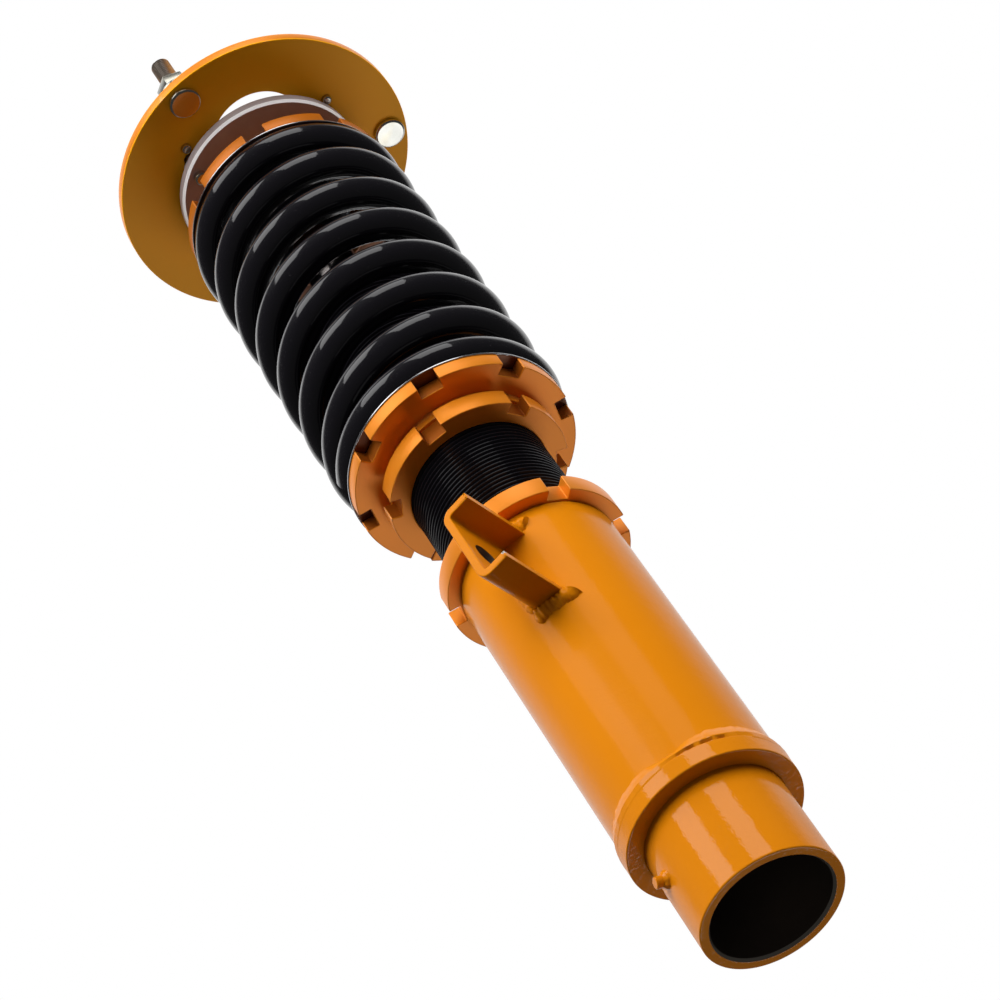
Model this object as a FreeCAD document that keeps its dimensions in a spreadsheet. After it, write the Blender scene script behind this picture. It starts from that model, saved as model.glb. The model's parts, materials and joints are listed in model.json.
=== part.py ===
import FreeCAD, Part
import math, os
import Sketcher

# Front strut coilover. Origin: centre of the insert tube's bottom end; +Z runs up the
# strut axis to the top mount; the stabiliser link bracket faces -Y. Millimetres, degrees.
SIZES = {
    # lower bracket: insert tube, collar, outer tube
    "insert_radius": 25.5, "insert_bore": 21.45, "insert_top": 60.0, "insert_edge": 0.8,
    "insert_relief": 0.4,
    "spigot_length": 18.0, "collar_radius": 31.8, "collar_low": 39.2, "collar_high": 46.0,
    "outer_radius": 30.4, "outer_bore": 26.96, "outer_top": 176.5, "weld_height": 6.0,
    "pin_radius": 2.0, "pin_height": 23.5, "pin_reach": 29.5, "pin_angle": -135.0,
    # stabiliser link bracket
    "sheet": 3.0, "link_low": 133.0, "link_high": 169.0, "link_reach": 59.5,
    "link_left": 0.7, "link_depth": 12.1, "link_bend": 4.5, "link_hole": 5.25,
    "link_hole_reach": 49.0, "link_hole_height": 150.5, "bead": 2.2,
    # ring nuts and spring seats
    "ring_radius": 35.3, "ring_thick": 8.0, "ring_slot": 8.0, "ring_slot_depth": 4.6,
    "ring_gap": 0.05, "perch_radius": 44.0, "perch_low": 242.2, "perch_thick": 6.2,
    "perch_slot": 9.0, "perch_slot_depth": 5.2, "register_radius": 32.6,
    "register_height": 7.0, "perch_hub": 32.0, "perch_hub_height": 4.2,
    "slot_turn": -66.9, "lock_turn": -79.5, "body_ring_turn": -35.5,
    # spring
    "coil_radius": 39.5, "wire_radius": 6.5, "coil_pitch": 23.6, "coil_dead": 90.0,
    "coil_ease": 120.0, "coil_start": -143.3, "washer_thick": 0.8, "washer_radius": 44.4,
    # damper body
    "thread_radius": 26.9, "damper_bore": 22.0, "damper_low": 70.0, "damper_high": 343.0,
    "rod_radius": 11.0, "running": 0.05, "guide_low": 305.0, "seal_low": 322.0,
    "gland_low": 329.0, "gland_high": 348.0, "gland_radius": 24.2,
    "float_low": 150.0, "float_thick": 14.0,
    # rod and piston
    "piston_low": 268.0, "piston_high": 286.0, "tail_radius": 6.0, "tail_low": 256.0,
    "stud_radius": 7.0, "shoulder": 424.0, "rod_top": 479.0, "needle_radius": 3.0,
    # upper seat and top bearing
    "seat_low": 420.7, "hub_radius": 15.0, "hub_high": 434.0,
    "ball_height": 455.5, "ball_radius": 14.0, "ball_half": 10.5, "liner": 1.5,
    "liner_gap": 1.6, "liner_half": 9.0, "flange_radius": 39.7, "flange_low": 445.5,
    "flange_thick": 4.6, "step_radius": 30.0, "pad_radius": 4.2,
    "boss_radius": 19.45, "boss_high": 466.0, "retainer_radius": 17.0,
    "nut_low": 469.5, "nut_high": 477.5,
    # top plate, slots, studs
    "plate_radius": 63.2, "plate_low": 453.95, "plate_thick": 4.4, "slot_angle": -54.8,
    "slot_half": 20.9, "slot_radius": 19.5, "camber_radius": 33.9, "camber_angle": 61.1,
    "camber_screw": 3.0, "camber_travel": 3.3, "stop_radius": 40.5, "stop_angle": 50.0,
    "bolt_circle": 55.0, "bolt_radius": 4.0, "bolt_neck": 4.3, "bolt_tip": 484.0, "bolt_head": 6.6,
}

doc = FreeCAD.newDocument("coilover")
sheet = doc.addObject("Spreadsheet::Sheet", "sizes")
for row, (word, number) in enumerate(SIZES.items(), 1):
    sheet.set("A%d" % row, word)
    sheet.set("B%d" % row, str(number))
    sheet.setAlias("B%d" % row, word)
doc.recompute()


class Size:
    """A number together with the sheet expression it comes from."""

    def __init__(self, value, text):
        self.value, self.text = value, text

    def _join(self, other, sign, value):
        return Size(value, "(%s %s %s)" % (self.text, sign, text(other)))

    def __add__(self, other):
        return self._join(other, "+", self.value + val(other))

    def __sub__(self, other):
        return self._join(other, "-", self.value - val(other))

    def __mul__(self, other):
        return self._join(other, "*", self.value * val(other))

    def __neg__(self):
        return Size(-self.value, "(0 - %s)" % self.text)


def val(size):
    return size.value if isinstance(size, Size) else float(size)


def text(size):
    return size.text if isinstance(size, Size) else "(%r)" % float(size)


class Sheet:
    """The sheet's cells as attributes."""

    def __init__(self, cells):
        for word, number in cells.items():
            setattr(self, word, Size(number, "sizes.%s" % word))


d = Sheet(SIZES)
parts = []


def bind(obj, prop, size):
    obj.setExpression(prop, text(size))


def finish(obj, label):
    obj.Label = label
    parts.append((label, obj))
    return obj


def place(obj, x=0, y=0, z=0, turn=0, axis=(0, 0, 1)):
    """Binds an object's own placement: offset, and a turn about an axis through its origin."""
    obj.Placement = FreeCAD.Placement(FreeCAD.Vector(val(x), val(y), val(z)),
                                      FreeCAD.Rotation(FreeCAD.Vector(*axis), val(turn)))
    for prop, size in (("x", x), ("y", y), ("z", z)):
        if isinstance(size, Size):
            bind(obj, "Placement.Base." + prop, size)
    if isinstance(turn, Size):
        bind(obj, "Placement.Rotation.Angle", turn)
    return obj


# --- PartDesign helpers ------------------------------------------------------------
def origin_plane(body, role):
    return next(f for f in body.Origin.OriginFeatures if f.Role == role)


def profile(body, role, points, offset=0, turn=0):
    """A closed outline on one of the body's own planes, every corner bound to the sheet."""
    sk = body.newObject("Sketcher::SketchObject", body.Name + "_sketch")
    sk.AttachmentSupport = [(origin_plane(body, role), "")]
    sk.MapMode = "FlatFace"
    sk.AttachmentOffset = FreeCAD.Placement(
        FreeCAD.Vector(0, 0, val(offset)), FreeCAD.Rotation(FreeCAD.Vector(0, 0, 1), val(turn)))
    if isinstance(offset, Size):
        bind(sk, "AttachmentOffset.Base.z", offset)
    if isinstance(turn, Size):
        bind(sk, "AttachmentOffset.Rotation.Angle", turn)
    count = len(points)
    corner = [FreeCAD.Vector(val(x), val(y), 0) for x, y in points]
    for i in range(count):
        sk.addGeometry(Part.LineSegment(corner[i], corner[(i + 1) % count]), False)
    for i in range(count):
        sk.addConstraint(Sketcher.Constraint("Coincident", i, 2, (i + 1) % count, 1))
    for i, (x, y) in enumerate(points):
        for kind, size, onto in (("DistanceX", x, -2), ("DistanceY", y, -1)):
            if val(size) == 0:
                sk.addConstraint(Sketcher.Constraint("PointOnObject", i, 1, onto))
                continue
            number = sk.addConstraint(Sketcher.Constraint(kind, -1, 1, i, 1, val(size)))
            if isinstance(size, Size):
                bind(sk, "Constraints[%d]" % number, size)
    return sk


def turned(label, points):
    """A piece turned about the strut axis from an (r, z) outline."""
    body = doc.addObject("PartDesign::Body", label)
    sk = profile(body, "XZ_Plane", points)
    rev = body.newObject("PartDesign::Revolution", label + "_turn")
    rev.Profile = sk
    rev.ReferenceAxis = (sk, ["V_Axis"])
    rev.Angle = 360
    doc.recompute()
    return finish(body, label)


def through_slots(body, count, width, inner, outer, turn):
    """Equal slots cut through a ring from its rim, spaced about the strut axis."""
    half = width * 0.5
    sk = profile(body, "XY_Plane",
                 [(inner, -half), (outer, -half), (outer, half), (inner, half)], 0, turn)
    pocket = body.newObject("PartDesign::Pocket", body.Name + "_slot")
    pocket.Profile = sk
    pocket.Type = "ThroughAll"
    pocket.Reversed = True
    before = body.Shape.Volume
    doc.recompute()
    if abs(body.Shape.Volume - before) < 1.0:
        raise RuntimeError("slot cuts nothing in " + body.Label)
    pattern = body.newObject("PartDesign::PolarPattern", body.Name + "_pattern")
    pattern.Originals = [pocket]
    pattern.Axis = (origin_plane(body, "Z_Axis"), [""])
    pattern.Angle = 360
    pattern.Occurrences = count
    body.Tip = pattern
    doc.recompute()
    return body


# --- Part helpers ------------------------------------------------------------------
def cylinder(name, radius, height, **where):
    obj = doc.addObject("Part::Cylinder", name)
    bind(obj, "Radius", radius)
    bind(obj, "Height", height)
    return place(obj, **where)


def cone(name, radius1, radius2, height, **where):
    obj = doc.addObject("Part::Cone", name)
    bind(obj, "Radius1", radius1)
    bind(obj, "Radius2", radius2)
    bind(obj, "Height", height)
    return place(obj, **where)


def box(name, length, width, height, **where):
    obj = doc.addObject("Part::Box", name)
    bind(obj, "Length", length)
    bind(obj, "Width", width)
    bind(obj, "Height", height)
    return place(obj, **where)


def sphere(name, radius, **where):
    obj = doc.addObject("Part::Sphere", name)
    bind(obj, "Radius", radius)
    return place(obj, **where)


def hexagon(name, across, height, **where):
    obj = doc.addObject("Part::Prism", name)
    obj.Polygon = 6
    bind(obj, "Circumradius", across * (1 / math.sqrt(3)))
    bind(obj, "Height", height)
    return place(obj, **where)


def cut(name, base, tool):
    obj = doc.addObject("Part::Cut", name)
    obj.Base, obj.Tool = base, tool
    return obj


def join(name, *shapes):
    obj = doc.addObject("Part::MultiFuse", name)
    obj.Shapes = list(shapes)
    return obj


def swung(name, shape, turn):
    """The same shape swung about the strut axis."""
    obj = doc.addObject("Part::Compound", name)
    obj.Links = [shape]
    return place(obj, turn=turn)


def common(name, base, tool):
    obj = doc.addObject("Part::Common", name)
    obj.Base, obj.Tool = base, tool
    return obj


def group(label, members):
    obj = doc.addObject("Part::Compound", label)
    obj.Links = members
    return finish(obj, label)


def stadium(name, half, radius, low, height, turn, radial=0, at=0):
    """A round-ended slot tool along the camber direction, centred at (radial, at) from the axis."""
    angle = d.slot_angle + turn if turn else d.slot_angle
    bar = box(name + "_bar", half * 2, radius * 2, height,
              x=-half + radial, y=-radius + at, z=low)
    ends = [cylinder("%s_end%d" % (name, i), radius, height, x=half * sign + radial, y=at, z=low)
            for i, sign in enumerate((-1, 1))]
    slot = join(name, bar, *ends)
    return place(slot, turn=angle)


# --- lower bracket -----------------------------------------------------------------
def insert_tube():
    """Plain tube that slides into the knuckle's clamp, drilled for its locating pin."""
    edge, bore, outer = d.insert_edge, d.insert_bore, d.insert_radius
    relief = outer - d.insert_relief
    turned("insert_tube_blank", [
        (bore + edge, 0), (outer, 0), (outer, d.spigot_length),
        (relief, d.spigot_length + 0.5), (relief, d.insert_top), (bore, d.insert_top),
        (bore, edge)])
    blank = parts.pop()[1]
    hole = cylinder("pin_hole", d.pin_radius, 8, x=0, z=d.pin_height, turn=90, axis=(0, 1, 0))
    bind(hole, "Placement.Base.x", d.insert_bore + 1)
    drill = swung("pin_drill", hole, d.pin_angle)
    finish(cut("insert_tube", blank, drill), "insert_tube")


def locating_pin():
    pin = cylinder("pin", d.pin_radius, d.pin_reach - (d.insert_bore + 1),
                   z=d.pin_height, turn=90, axis=(0, 1, 0))
    bind(pin, "Placement.Base.x", d.insert_bore + 1)
    finish(swung("locating_pin_swung", pin, d.pin_angle), "locating_pin")
    bead = cone("pin_bead", d.pin_radius + 1.8, d.pin_radius + 0.3, 2.4,
                z=d.pin_height, turn=90, axis=(0, 1, 0))
    bind(bead, "Placement.Base.x", d.insert_radius - 0.8)
    core = cylinder("pin_core", d.pin_radius, 10, z=d.pin_height, turn=90, axis=(0, 1, 0))
    bind(core, "Placement.Base.x", d.insert_radius - 5)
    ring = swung("pin_ring", cut("pin_bead_ring", bead, core), d.pin_angle)
    tube = cylinder("pin_tube", d.insert_radius - 0.25, d.insert_top)
    finish(cut("pin_weld", ring, tube), "pin_weld")


def collar():
    """Stop collar that rests on the knuckle, with a spigot up inside the outer tube."""
    bore = d.insert_radius - d.insert_relief
    turned("knuckle_collar", [
        (bore, d.collar_low), (d.collar_radius - 0.8, d.collar_low),
        (d.collar_radius, d.collar_low + 0.8), (d.collar_radius, d.collar_high),
        (d.outer_bore, d.collar_high), (d.outer_bore, d.insert_top),
        (bore, d.insert_top)])
    turned("collar_weld", [
        (d.outer_radius, d.collar_high), (d.collar_radius, d.collar_high),
        (d.collar_radius + 0.1, d.collar_high + 1.6), (d.collar_radius - 0.2, d.collar_high + 3.6),
        (d.outer_radius, d.collar_high + d.weld_height)])


def outer_tube():
    edge = 0.6
    turned("outer_tube", [
        (d.outer_bore, d.collar_high), (d.outer_radius, d.collar_high),
        (d.outer_radius, d.outer_top - edge), (d.outer_radius - edge, d.outer_top),
        (d.outer_bore, d.outer_top)])


def link_bracket():
    """Folded channel for the stabiliser link: a web with the link hole and two flanges."""
    left, sheet_, low, high = -d.link_left, d.sheet, d.link_low, d.link_high
    right = d.link_depth - d.link_left
    body = doc.addObject("PartDesign::Body", "link_bracket")
    foot = d.outer_radius - 5
    sk = profile(body, "XZ_Plane", [
        (left, low), (right, low), (right, low + sheet_), (left + sheet_, low + sheet_),
        (left + sheet_, high - sheet_), (right, high - sheet_), (right, high), (left, high)],
        offset=foot)
    pad = body.newObject("PartDesign::Pad", "channel")
    pad.Profile = sk
    bind(pad, "Length", d.link_reach - foot)
    doc.recompute()
    bends = [n for n, e in enumerate(pad.Shape.Edges, 1)
             if all(abs(v.X - val(left)) < 1e-6 for v in e.Vertexes)
             and abs(e.Vertexes[0].Z - e.Vertexes[1].Z) < 1e-6]
    fillet = body.newObject("PartDesign::Fillet", "bends")
    fillet.Base = (pad, ["Edge%d" % n for n in bends])
    bind(fillet, "Radius", d.link_bend)
    body.Tip = fillet
    doc.recompute()
    hole = cylinder("link_drill", d.link_hole, d.sheet + 4, y=-d.link_hole_reach,
                    z=d.link_hole_height, x=-(d.link_left + 2), turn=90, axis=(0, 1, 0))
    tube = cylinder("link_cope", d.outer_radius, d.outer_top)
    finish(cut("link_bracket_cut", body, join("link_tools", hole, tube)), "link_bracket")


def link_welds():
    """Fillet beads around the bracket's foot on the tube."""
    left, right, grow = -d.link_left, d.link_depth - d.link_left, d.bead
    wide = box("bead_wide", d.link_depth + grow * 2, 20, d.link_high - d.link_low + grow * 2,
               x=left - grow, y=-(d.outer_radius + 4), z=d.link_low - grow)
    core = box("bead_core", d.link_depth, 22, d.link_high - d.link_low,
               x=left, y=-(d.outer_radius + 5), z=d.link_low)
    gap = box("bead_gap", 10, 22, d.link_high - d.link_low - d.sheet * 2,
              x=right - 1, y=-(d.outer_radius + 5), z=d.link_low + d.sheet)
    shell = cylinder("bead_shell", d.outer_radius + 1.9, d.outer_top)
    tube = cylinder("bead_tube", d.outer_radius, d.outer_top)
    ring = common("bead_ring", wide, shell)
    finish(cut("link_welds", ring, join("bead_tools", core, gap, tube)), "link_welds")


# --- ring nuts and spring seats ------------------------------------------------------
def ring_nut(label, low, turn):
    edge = 0.7
    body = turned(label, [
        (d.outer_bore, low), (d.ring_radius - edge, low), (d.ring_radius, low + edge),
        (d.ring_radius, low + d.ring_thick - edge), (d.ring_radius - edge, low + d.ring_thick),
        (d.outer_bore, low + d.ring_thick)])
    through_slots(body, 6, d.ring_slot, d.ring_radius - d.ring_slot_depth,
                  d.ring_radius + 3, turn)


def lower_perch():
    """Threaded spring seat with eight spanner slots and a register that centres the coil."""
    low, high, edge = d.perch_low, d.perch_low + d.perch_thick, 0.7
    foot = low - d.perch_hub_height
    body = turned("lower_spring_perch", [
        (d.outer_bore, foot), (d.perch_hub, foot), (d.perch_hub, low),
        (d.perch_radius - edge, low), (d.perch_radius, low + edge),
        (d.perch_radius, high), (d.register_radius, high),
        (d.register_radius, high + d.register_height - 1.5),
        (d.register_radius - 1.5, high + d.register_height), (d.outer_bore, high + d.register_height)])
    through_slots(body, 8, d.perch_slot, d.perch_radius - d.perch_slot_depth,
                  d.perch_radius + 3, d.slot_turn)
    turned("lower_spring_washer", [
        (d.register_radius + 0.05, high), (d.washer_radius, high),
        (d.washer_radius, high + d.washer_thick), (d.register_radius + 0.05, high + d.washer_thick)])


def upper_perch():
    """Seat clamped on the rod's shoulder; its lip centres the top coil."""
    low, high, edge = d.seat_low, d.seat_low + d.perch_thick, 0.7
    lip = d.register_radius
    body = turned("upper_spring_perch", [
        (d.stud_radius, d.shoulder), (lip - 3, d.shoulder), (lip - 3, low - 6),
        (lip - 1.2, low - 6), (lip, low - 4.8), (lip, low), (d.perch_radius, low),
        (d.perch_radius, high - edge), (d.perch_radius - edge, high),
        (lip + 1, high), (lip - 2, d.shoulder + 6), (d.hub_radius + 1, d.shoulder + 6),
        (d.hub_radius, d.hub_high), (d.stud_radius, d.hub_high)])
    through_slots(body, 8, d.perch_slot, d.perch_radius - d.perch_slot_depth,
                  d.perch_radius + 3, d.slot_turn)
    turned("upper_spring_washer", [
        (lip + 0.05, low - d.washer_thick), (d.washer_radius, low - d.washer_thick),
        (d.washer_radius, low), (lip + 0.05, low)])


def coil_height(turn, low, high, total):
    """Height of the wire's centre: flat dead turns at both ends, eased into an even pitch."""
    slope = val(d.coil_pitch) / 360.0
    dead, ease = val(d.coil_dead), val(d.coil_ease)

    def climb(angle):
        if angle <= dead:
            return 0.0
        if angle <= dead + ease:
            return 0.5 * slope * (angle - dead) ** 2 / ease
        return slope * (angle - dead - 0.5 * ease)
    return low + climb(turn) if turn < total / 2 else high - climb(total - turn)


def coil_spring():
    low = val(d.perch_low) + val(d.perch_thick) + val(d.washer_thick) + val(d.wire_radius)
    high = val(d.seat_low) - val(d.washer_thick) - val(d.wire_radius)
    slope = val(d.coil_pitch) / 360.0
    total = (high - low) / slope + 2 * val(d.coil_dead) + val(d.coil_ease)
    count = int(total / 15)
    points = []
    for k in range(count + 1):
        turn = total * k / count
        angle = math.radians(val(d.coil_start) + turn)
        points.append(FreeCAD.Vector(val(d.coil_radius) * math.cos(angle),
                                     val(d.coil_radius) * math.sin(angle),
                                     coil_height(turn, low, high, total)))
    curve = Part.BSplineCurve()
    curve.interpolate(points)
    path = Part.Wire(curve.toShape())
    start = Part.Circle(points[0], curve.tangent(curve.FirstParameter)[0], val(d.wire_radius))
    wire = Part.Wire(start.toShape())
    spring = doc.addObject("Part::Feature", "coil_spring")
    spring.Shape = path.makePipeShell([wire], True, True)
    spring.Placement = FreeCAD.Placement()
    finish(spring, "coil_spring")


# --- damper body ---------------------------------------------------------------------
def damper_body():
    edge = 1.0
    turned("damper_tube", [
        (d.damper_bore, d.damper_low), (d.thread_radius - edge, d.damper_low),
        (d.thread_radius, d.damper_low + edge), (d.thread_radius, d.damper_high - edge),
        (d.thread_radius - edge, d.damper_high), (d.damper_bore, d.damper_high)])
    turned("damper_base", [
        (0, d.damper_low), (d.damper_bore, d.damper_low),
        (d.damper_bore, d.damper_low + 8), (0, d.damper_low + 8)])
    turned("rod_guide", [
        (d.rod_radius + d.running, d.guide_low), (d.damper_bore, d.guide_low),
        (d.damper_bore, d.seal_low), (d.rod_radius + d.running, d.seal_low)])
    turned("rod_seal", [
        (d.rod_radius + d.running, d.seal_low), (d.damper_bore, d.seal_low),
        (d.damper_bore, d.gland_low), (d.rod_radius + d.running, d.gland_low)])
    wiper = d.rod_radius + 3.5
    body = turned("gland_nut", [
        (d.rod_radius + 0.5, d.gland_low), (d.damper_bore, d.gland_low),
        (d.damper_bore, d.damper_high), (d.gland_radius, d.damper_high),
        (d.gland_radius, d.gland_high - 0.8), (d.gland_radius - 0.8, d.gland_high),
        (wiper, d.gland_high), (wiper, d.gland_high - 5), (d.rod_radius + 0.5, d.gland_high - 5)])
    through_slots(body, 4, Size(5.0, "5"), d.gland_radius - 1.6, d.gland_radius + 3, 0)
    turned("rod_wiper", [
        (d.rod_radius + d.running, d.gland_high - 5), (wiper, d.gland_high - 5),
        (wiper, d.gland_high), (d.rod_radius + 1.6, d.gland_high + 1.6),
        (d.rod_radius + d.running, d.gland_high + 1.6)])


def floating_piston():
    """Cup that parts the oil from the gas, with its seal in a groove."""
    low, high, wall = d.float_low, d.float_low + d.float_thick, d.damper_bore - 0.1
    seat = wall - 2.5
    turned("floating_piston", [
        (0, low + 5), (12, low + 5), (14, low), (wall, low), (wall, low + 4.5),
        (seat, low + 4.5), (seat, low + 8.5), (wall, low + 8.5), (wall, high), (0, high)])
    turned("floating_piston_seal", [
        (seat, low + 4.5), (d.damper_bore - d.running, low + 4.5),
        (d.damper_bore - d.running, low + 8.5), (seat, low + 8.5)])


# --- rod and piston --------------------------------------------------------------------
def piston_rod():
    """Hollow rod: piston tail below, full diameter to the shoulder, threaded stud above."""
    hole = d.needle_radius + d.running
    turned("piston_rod", [
        (hole, d.tail_low), (d.tail_radius, d.tail_low), (d.tail_radius, d.piston_high + 2.4),
        (d.rod_radius, d.piston_high + 2.4), (d.rod_radius, d.shoulder),
        (d.stud_radius, d.shoulder), (d.stud_radius, d.rod_top - 1), (d.stud_radius - 1, d.rod_top),
        (hole, d.rod_top)])


def piston():
    wall, seat = d.damper_bore - 0.4, d.damper_bore - 1.6
    low, high = d.piston_low, d.piston_high
    blank = turned("piston_blank", [
        (d.tail_radius, low), (wall, low), (wall, low + 4), (seat, low + 4), (seat, high - 4),
        (wall, high - 4), (wall, high), (d.tail_radius, high)])
    parts.pop()
    ports = [swung("port_turn%d" % k,
                   cylinder("port%d" % k, 2.0, high - low + 2, x=14.5, z=low - 1),
                   60 * k) for k in range(6)]
    finish(cut("piston_ported", blank, join("ports", *ports)), "piston")
    turned("piston_band", [
        (seat, low + 4), (d.damper_bore - d.running, low + 4),
        (d.damper_bore - d.running, high - 4), (seat, high - 4)])


def valve_shims():
    """Two stacks of spring-steel discs, largest against the piston on each face."""
    discs = []
    for side, face, step in (("rebound", d.piston_high, 1), ("bump", d.piston_low, -1)):
        for k, radius in enumerate((18.5, 16.0, 13.0, 10.5)):
            low = face + 0.6 * (k if step > 0 else -k - 1)
            disc = cylinder("%s_disc%d" % (side, k), radius, 0.6, z=low)
            bore = cylinder("%s_bore%d" % (side, k), d.tail_radius, 0.6, z=low)
            discs.append(cut("%s_shim%d" % (side, k), disc, bore))
    group("valve_shims", discs)


def rod_fittings():
    low = d.piston_low - 2.4
    nut = hexagon("piston_hex", Size(17.0, "17"), 8, z=low - 8)
    finish(cut("piston_nut", nut, cylinder("piston_nut_bore", d.tail_radius, 8, z=low - 8)),
           "piston_nut")
    turned("rebound_stop", [
        (d.rod_radius, d.guide_low - 12.5), (16, d.guide_low - 12.5), (16, d.guide_low - 0.5),
        (d.rod_radius, d.guide_low - 0.5)])
    top = d.shoulder - 3
    turned("bump_stop", [
        (d.rod_radius, top - 19), (15.5, top - 19), (17.5, top - 16), (17.5, top - 13),
        (15.5, top - 10.5), (17.5, top - 8), (19.5, top - 5), (19.5, top), (d.rod_radius, top)])
    turned("bump_stop_washer", [
        (d.rod_radius, top), (22, top), (22, top - 2), (23.2, top - 2), (23.2, top + 1.2),
        (d.rod_radius, top + 1.2)])


def ball_and_nut():
    half, tall = d.ball_half, d.ball_height
    ball = sphere("ball_round", d.ball_radius, z=tall)
    slab = cylinder("ball_slab", d.ball_radius + 1, half * 2, z=tall - half)
    bore = cylinder("ball_bore", d.stud_radius, 40, z=tall - 20)
    finish(cut("swivel_ball", common("ball_zone", ball, slab), bore), "swivel_ball")
    turned("lower_spacer", [
        (d.stud_radius, d.hub_high), (12, d.hub_high), (12, d.hub_high + 2),
        (8.8, tall - half), (d.stud_radius, tall - half)])
    turned("upper_spacer", [
        (d.stud_radius, tall + half), (8.8, tall + half), (9.2, d.nut_low - 1), (11, d.nut_low - 1),
        (11, d.nut_low), (d.stud_radius, d.nut_low)])
    blank = hexagon("rod_hex", Size(21.0, "21"), d.nut_high - d.nut_low, z=d.nut_low)
    round_ = cone("rod_hex_round", 18.5, 10.5, 8, z=d.nut_low)
    hole = cylinder("rod_nut_bore", d.stud_radius, 10, z=d.nut_low - 1)
    finish(cut("rod_nut", common("rod_hex_chamfered", blank, round_), hole), "rod_nut")


def damping_adjuster():
    top = d.rod_top
    turned("metering_needle", [
        (0, d.tail_low + 6), (0.8, d.tail_low + 6), (d.needle_radius, d.tail_low + 14),
        (d.needle_radius, top + 0.3), (0, top + 0.3)])
    knob = turned("damping_knob", [
        (0, top + 0.3), (5.4, top + 0.3), (5.4, top + 4.0), (4.6, top + 4.8), (0, top + 4.8)])
    through_slots(knob, 12, Size(0.9, "0.9"), Size(4.7, "4.7"), Size(8.0, "8"), 0)


# --- top bearing -----------------------------------------------------------------------
def liner_half(label, near, far):
    """One half of the ball's liner: a band of a spherical shell."""
    outer = sphere(label + "_outer", d.ball_radius + d.running + d.liner, z=d.ball_height)
    inner = sphere(label + "_inner", d.ball_radius + d.running, z=d.ball_height)
    band = cylinder(label + "_band", d.ball_radius + 5, far - near, z=d.ball_height + near)
    finish(cut(label + "_cut", common(label + "_shell", outer, band), inner), label)


def socket_sphere(name):
    return sphere(name, d.ball_radius + d.running * 2 + d.liner, z=d.ball_height)


def top_bearing():
    """Disc with a step and four pads that bear on the plate, and a cup pressed into it that
    rises through the plate's slot."""
    seam, top, face = d.boss_high - 5, d.flange_low + d.flange_thick, d.plate_low - d.running
    blank = turned("housing_blank", [
        (d.boss_radius, d.flange_low), (d.flange_radius - 1.0, d.flange_low),
        (d.flange_radius, d.flange_low + 1.0), (d.flange_radius, top), (d.step_radius, top),
        (d.step_radius, face), (d.boss_radius, face)])
    parts.pop()
    pads = [swung("pad_turn%d" % k,
                  cylinder("pad%d" % k, d.pad_radius, face - d.flange_low - 1,
                           x=d.camber_radius, z=d.flange_low + 1), camber_turn(k))
            for k in range(4)]
    holes = [swung("tap_turn%d" % k,
                   cylinder("tap%d" % k, d.camber_screw, 12, x=d.camber_radius,
                            z=d.flange_low - 3), camber_turn(k)) for k in range(4)]
    solid = join("housing_solid", blank, *pads)
    finish(cut("housing_cut", solid, join("housing_tools", *holes)), "bearing_housing")
    cup = turned("cup_blank", [
        (0, d.flange_low), (d.boss_radius, d.flange_low), (d.boss_radius, d.boss_high - 0.8),
        (d.boss_radius - 0.8, d.boss_high), (d.retainer_radius, d.boss_high),
        (d.retainer_radius, seam), (0, seam)])
    parts.pop()
    finish(cut("cup_cut", cup, socket_sphere("cup_socket")), "bearing_cup")
    ring = cylinder("retainer_blank", d.retainer_radius, d.boss_high - seam, z=seam)
    notch = box("retainer_notch", d.retainer_radius * 2 + 4, 3.5, 3,
                x=-(d.retainer_radius + 2), y=-1.75, z=d.boss_high - 1.5)
    cutters = join("retainer_tools", socket_sphere("retainer_socket"), notch)
    finish(cut("retainer_cut", ring, cutters), "bearing_retainer")


def camber_turn(k):
    """The four clamp screws sit mirrored about the camber slot."""
    sign, back = (1, -1)[k % 2], 180 * (k // 2)
    return d.slot_angle + d.camber_angle * sign + back


def camber_screws():
    face = d.plate_low + d.plate_thick + d.running
    screws, washers = [], []
    for k in range(4):
        shank = cylinder("clamp_shank%d" % k, d.camber_screw, face + 1.4 - (d.flange_low - 3),
                         x=d.camber_radius, z=d.flange_low - 3)
        head = cylinder("clamp_head%d" % k, 5.0, 6.0, x=d.camber_radius, z=face + 1.4)
        key = hexagon("clamp_key%d" % k, Size(5.0, "5"), 4, x=d.camber_radius, z=face + 4.4)
        screw = cut("clamp_screw%d" % k, join("clamp_body%d" % k, shank, head), key)
        screws.append(swung("clamp_turn%d" % k, screw, camber_turn(k)))
        disc = cylinder("clamp_disc%d" % k, 6.4, 1.4, x=d.camber_radius, z=face)
        bore = cylinder("clamp_bore%d" % k, d.camber_screw, 1.4, x=d.camber_radius, z=face)
        washers.append(swung("clamp_ring%d" % k, cut("clamp_washer%d" % k, disc, bore),
                             camber_turn(k)))
    group("camber_screws", screws)
    group("camber_washers", washers)


# --- top plate -----------------------------------------------------------------------
def stud_turn(k):
    """Three studs, one of them square to the camber slot."""
    return d.slot_angle + 90 + 120 * k


def stop_turn(k):
    sign, back = (1, -1)[k % 2], 180 * (k // 2)
    return d.slot_angle + d.stop_angle * sign + back


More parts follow.
